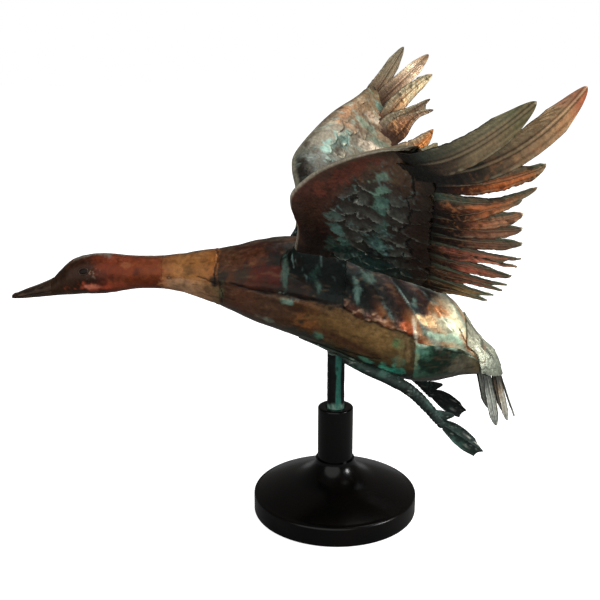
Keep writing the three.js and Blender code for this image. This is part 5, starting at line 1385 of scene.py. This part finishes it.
# Turned pieces: an outline of radius and height, swept round the Z axis with `cols` steps
def turnedRings(outline, cols, step):
    outline = np.array(outline, float)
    fine = [outline[:1]]
    for a, b in zip(outline[:-1], outline[1:]):
        n = max(int(np.linalg.norm(b - a) / step), 1)
        fine.append(a + (b - a) * (np.arange(1, n + 1) / n)[:, None])
    line = np.concatenate(fine)
    turn = np.linspace(0, 2 * math.pi, cols, endpoint=False)
    return vec(line[:, :1] * np.cos(turn), line[:, :1] * np.sin(turn), line[:, 1:] + 0 * turn), turn


# A closed solid through rings of points whose last ring joins the first
def ringPiece(name, rings, paint, look):
    rows, cols = rings.shape[:2]
    first = np.arange(cols)
    last = first + (rows - 1) * cols
    joint = np.stack([last, first, np.roll(first, -1), np.roll(last, -1)], axis=-1)
    quads = np.concatenate([quadsOf(rows, cols, closed=True), joint])
    pieceOf(name, rings.reshape(-1, 3), quads, [], paint.reshape(-1, 3), look)


def post():
    user = {"radius": 9.5, "wall": 1.5, "low": 106.8, "high": 262, "edge": 0.4, "stripe": -74}
    inside = user["radius"] - user["wall"]
    edge, radius, low, high = user["edge"], user["radius"], user["low"], user["high"]
    outline = [(inside, low), (radius - edge, low), (radius, low + edge), (radius, high - edge),
               (radius - edge, high), (inside, high)]
    rings, turn = turnedRings(outline, 96, 1.6)
    flat = np.hypot(rings[..., 0], rings[..., 1])[..., None]
    dents = 0.25 * cloud(rings, 9, 3, 3) * (flat[..., 0] > 9)
    rings = rings + rings * [1, 1, 0] / flat * dents[..., None]
    # painted light and shade: nearly black, with the green patina shown only as a stripe on the lit side
    # between the camera and +X, and a paler ring at the foot
    litSide = np.cos(turn - math.radians(user["stripe"])) + 0.03 * cloud(rings, 9, 5)
    paint = lay(plain("#0b0d0c", rings.shape[:2]), "#24685a", 0.9 * ramp(litSide, 0.92, 0.98))
    paint = lay(paint, "#14221e", 0.6 * ramp(cloud(rings, 10, 9), 0.2, 0.9))
    foot = 1 - ramp(rings[..., 2] + 3 * noise(rings, 6, 4), 122, 129)
    paint = lay(paint, "#5c8c7c", 0.8 * foot)
    paint = lay(paint, "#9fb3a6", 0.6 * foot * ramp(noise(rings, 2.5, 6), 0.1, 0.5))
    ringPiece("post_copper", rings, paint, lookOf(legCopper, "copper_post", "post_tube"))


# Cast iron under black stove enamel: deep black, with a faint brown bloom and fine orange-peel
def enamelMaterial(name, user):
    material, tree, shader = newMaterial(name)
    bloom = noiseNode(tree, 46, detail=3.0, roughness=0.5)
    dust = noiseNode(tree, 1.1, detail=2.0, roughness=0.5, offset=0.4)
    share = rangeNode(tree, bloom, 0.35, 0.65, 0, 1)
    colour = mixNode(tree, share, linear(user["black"]), linear(user["brown"]))
    tree.links.new(colour, shader.inputs["Base Color"])
    gloss = rangeNode(tree, bloom, 0.3, 0.7, user["gloss"], user["gloss"] + 0.06)
    gloss = mathNode(tree, "ADD", gloss, rangeNode(tree, dust, 0.6, 0.8, 0, 0.03))
    tree.links.new(gloss, shader.inputs["Roughness"])
    shader.inputs["Specular IOR Level"].default_value = 0.22
    peel = bumpNode(tree, noiseNode(tree, 3.5, detail=2.0, roughness=0.5, offset=0.9), 0.2, 0.03)
    tree.links.new(peel.outputs[0], shader.inputs["Normal"])
    return material


enamelFinish = {"black": "#020202", "brown": "#060403", "gloss": 0.2}
blackEnamel = enamelMaterial("black stove enamel on cast iron", enamelFinish)


# Places on a quarter of a circle, from 0 to 1 across and from 0 to 1 up, in `steps` steps
def quarter(steps, first=1):
    return [(1 - math.cos(a), math.sin(a)) for a in np.linspace(0, math.pi / 2, steps)[first:]]


def standPieces():
    user = {"under": 0.8, "radius": 90.5, "rim": 19, "round": 3, "top": 62, "neck": 21.5, "root": 47,
            "rootHeight": 38, "dome": 0.25, "bore": 4.25, "felt": 84.3, "feltTop": 2.3, "well": 22,
            "wellTop": 17.3, "collar": 19.4, "collarTop": 122.8, "socket": 10.4, "socketFloor": 104.8,
            "lip": 2}
    radius, under, rimTop = user["radius"], user["under"], user["under"] + user["rim"]
    # from the bore through the nut's well and the felt's recess to the rim
    outline = [(user["bore"], user["wellTop"]), (user["well"], user["wellTop"]),
               (user["well"], user["feltTop"]), (user["felt"], user["feltTop"]), (user["felt"], under),
               (radius - 1, under), (radius - 0.3, under + 0.3), (radius, under + 1), (radius, rimTop)]
    outline += [(radius - user["round"] * across, rimTop + user["round"] * up) for across, up in quarter(9)]
    domeFoot = rimTop + user["round"]
    domeEdge = radius - user["round"]
    for q in np.linspace(0, 1, 16)[1:]:
        height = mixed(domeFoot, user["rootHeight"], q * (1 + user["dome"] - user["dome"] * q))
        outline.append((mixed(domeEdge, user["root"], q), height))
    # the neck's hollow starts with the slope that the dome ends with, and ends upright
    neckRun = user["root"] - user["neck"]
    slope = (user["rootHeight"] - domeFoot) * (1 - user["dome"]) / (domeEdge - user["root"])
    neckRise = user["top"] - user["rootHeight"] - slope * neckRun
    for across, up in quarter(24):
        height = user["rootHeight"] + slope * neckRun * up + neckRise * across
        outline.append((user["root"] - neckRun * up, height))
    outline.append((user["bore"], user["top"]))
    low, top, lip = user["top"] + seam, user["collarTop"], user["lip"]
    collar = [(user["bore"], low), (user["collar"], low), (user["collar"], top - lip)]
    collar += [(user["collar"] - lip * across, top - lip * (1 - up)) for across, up in quarter(8)]
    collar += [(user["socket"] + lip * (1 - up), top - lip * across) for across, up in quarter(8, 0)]
    collar += [(user["socket"], user["socketFloor"]), (user["bore"], user["socketFloor"])]
    for name, node, line, cols in (("foot_enamel", "stand_foot", outline, 160),
                                   ("collar_enamel", "stand_collar", collar, 128)):
        rings = turnedRings(line, cols, 3)[0]
        look = lookOf(blackEnamel, "black_enamel", node, body=stand, sharp=50)
        ringPiece(name, rings, plain("#0c0b0a", rings.shape[:2]), look)


print("post and stand")
post()
standPieces()


# Materials of the CAD nodes that stay: felt under the foot, turned steel and brass inside
def metalMaterial(name, colour, rough):
    material, tree, shader = newMaterial(name)
    turned = noiseNode(tree, 1.5, detail=5.0, roughness=0.6)
    tint = mixNode(tree, turned, linear(colour), linear(colour) * 0.7)
    tree.links.new(tint, shader.inputs["Base Color"])
    tree.links.new(rangeNode(tree, turned, 0.3, 0.7, rough, rough + 0.15), shader.inputs["Roughness"])
    shader.inputs["Metallic"].default_value = 1.0
    return material


def feltMaterial(name):
    material, tree, shader = newMaterial(name)
    fibres = noiseNode(tree, 0.8, detail=8.0, roughness=0.75)
    tree.links.new(mixNode(tree, fibres, linear("#0e100e"), linear("#2a2d29")), shader.inputs["Base Color"])
    shader.inputs["Roughness"].default_value = 0.95
    tree.links.new(bumpNode(tree, fibres, 0.8, 0.3).outputs[0], shader.inputs["Normal"])
    return material


steel = metalMaterial("turned steel", "#8c9094", 0.3)
brass = metalMaterial("turned brass", "#b08d4a", 0.3)
keptNodes = {"felt_pad": feltMaterial("black wool felt"), "spindle_rod": steel, "spindle_washer": steel,
             "spindle_nut": steel, "bearing_plug": brass, "post_saddle": brass}
for word, material in keptNodes.items():
    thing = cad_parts[word]
    for place in thing.material_slots:
        place.material = material


# Camera, lights, white surroundings

def aimed(thing, target):
    direction = np.array(target) - np.array(thing.location)
    thing.rotation_euler = Vector(direction).to_track_quat("-Z", "Y").to_euler()


camera = bpy.data.objects.new("camera", bpy.data.cameras.new("camera"))
scene.collection.objects.link(camera)
camera.data.sensor_width = 36
camera.data.lens = 60
camera.data.clip_start = 0.05
camera.location = (-0.0391, -1.0208, 0.5461)
camera.rotation_euler = (math.radians(73.52), 0, 0)
scene.camera = camera

for name, place, size, power, tone in (
    ("front", (-0.5, -1.7, 0.8), 3.0, 31, (1, 0.98, 0.96)),
    ("right", (1.5, -0.6, 0.8), 0.5, 22, (1, 1, 1)),
    ("top", (0.5, 0.3, 2.0), 1.6, 20, (1, 1, 1)),
):
    lamp = bpy.data.lights.new(name, "AREA")
    lamp.shape = "DISK"
    lamp.size = size
    lamp.energy = power
    lamp.color = tone
    thing = bpy.data.objects.new(name, lamp)
    scene.collection.objects.link(thing)
    thing.location = place
    aimed(thing, (0, 0, 0.3))

# The surroundings are pure white to the camera and a soft grey studio to everything else
world = bpy.data.worlds.new("studio")
scene.world = world
world.use_nodes = True
tree = world.node_tree
tree.nodes.clear()
path = addNode(tree, "ShaderNodeLightPath")
seen = addNode(tree, "ShaderNodeBackground", None, {"Color": (1, 1, 1, 1), "Strength": 1.0})
soft = addNode(tree, "ShaderNodeBackground", None, {"Color": (0.97, 0.98, 1, 1), "Strength": 0.5})
dark = addNode(tree, "ShaderNodeBackground", None, {"Color": (1, 0.96, 0.92, 1), "Strength": 0.12})
around = addNode(tree, "ShaderNodeMixShader", None, {0: path.outputs["Is Glossy Ray"], 1: soft.outputs[0],
                                                      2: dark.outputs[0]})
both = addNode(tree, "ShaderNodeMixShader", None, {0: path.outputs["Is Camera Ray"], 1: around.outputs[0],
                                                    2: seen.outputs[0]})
addNode(tree, "ShaderNodeOutputWorld", None, {"Surface": both.outputs[0]})

floorMesh = bpy.data.meshes.new("floor")
floorHalf = 6.0
floorCorners = [(x * floorHalf, y * floorHalf, 0) for x, y in ((-1, -1), (1, -1), (1, 1), (-1, 1))]
floorMesh.from_pydata(floorCorners, [], [(0, 1, 2, 3)])
floor = bpy.data.objects.new("floor", floorMesh)
scene.collection.objects.link(floor)
floorMaterial = bpy.data.materials.new("white studio floor")
floorMaterial.use_nodes = True
tree = floorMaterial.node_tree
tree.nodes.clear()
path = addNode(tree, "ShaderNodeLightPath")
dull = addNode(tree, "ShaderNodeBsdfDiffuse", None, {"Color": (0.2, 0.2, 0.2, 1)})
bright = addNode(tree, "ShaderNodeBsdfDiffuse", None, {"Color": (0.8, 0.8, 0.8, 1)})
glow = addNode(tree, "ShaderNodeEmission", None, {"Color": (1, 1, 1, 1), "Strength": 0.72})
lit = addNode(tree, "ShaderNodeAddShader", None, {0: bright.outputs[0], 1: glow.outputs[0]})
both = addNode(tree, "ShaderNodeMixShader", None, {0: path.outputs["Is Camera Ray"], 1: dull.outputs[0],
                                                    2: lit.outputs[0]})
addNode(tree, "ShaderNodeOutputMaterial", None, {"Surface": both.outputs[0]})
floorMesh.materials.append(floorMaterial)

scene.render.engine = "CYCLES"
scene.cycles.samples = 96
scene.view_settings.view_transform = "Standard"
scene.render.resolution_x = 1200
scene.render.resolution_y = 1200
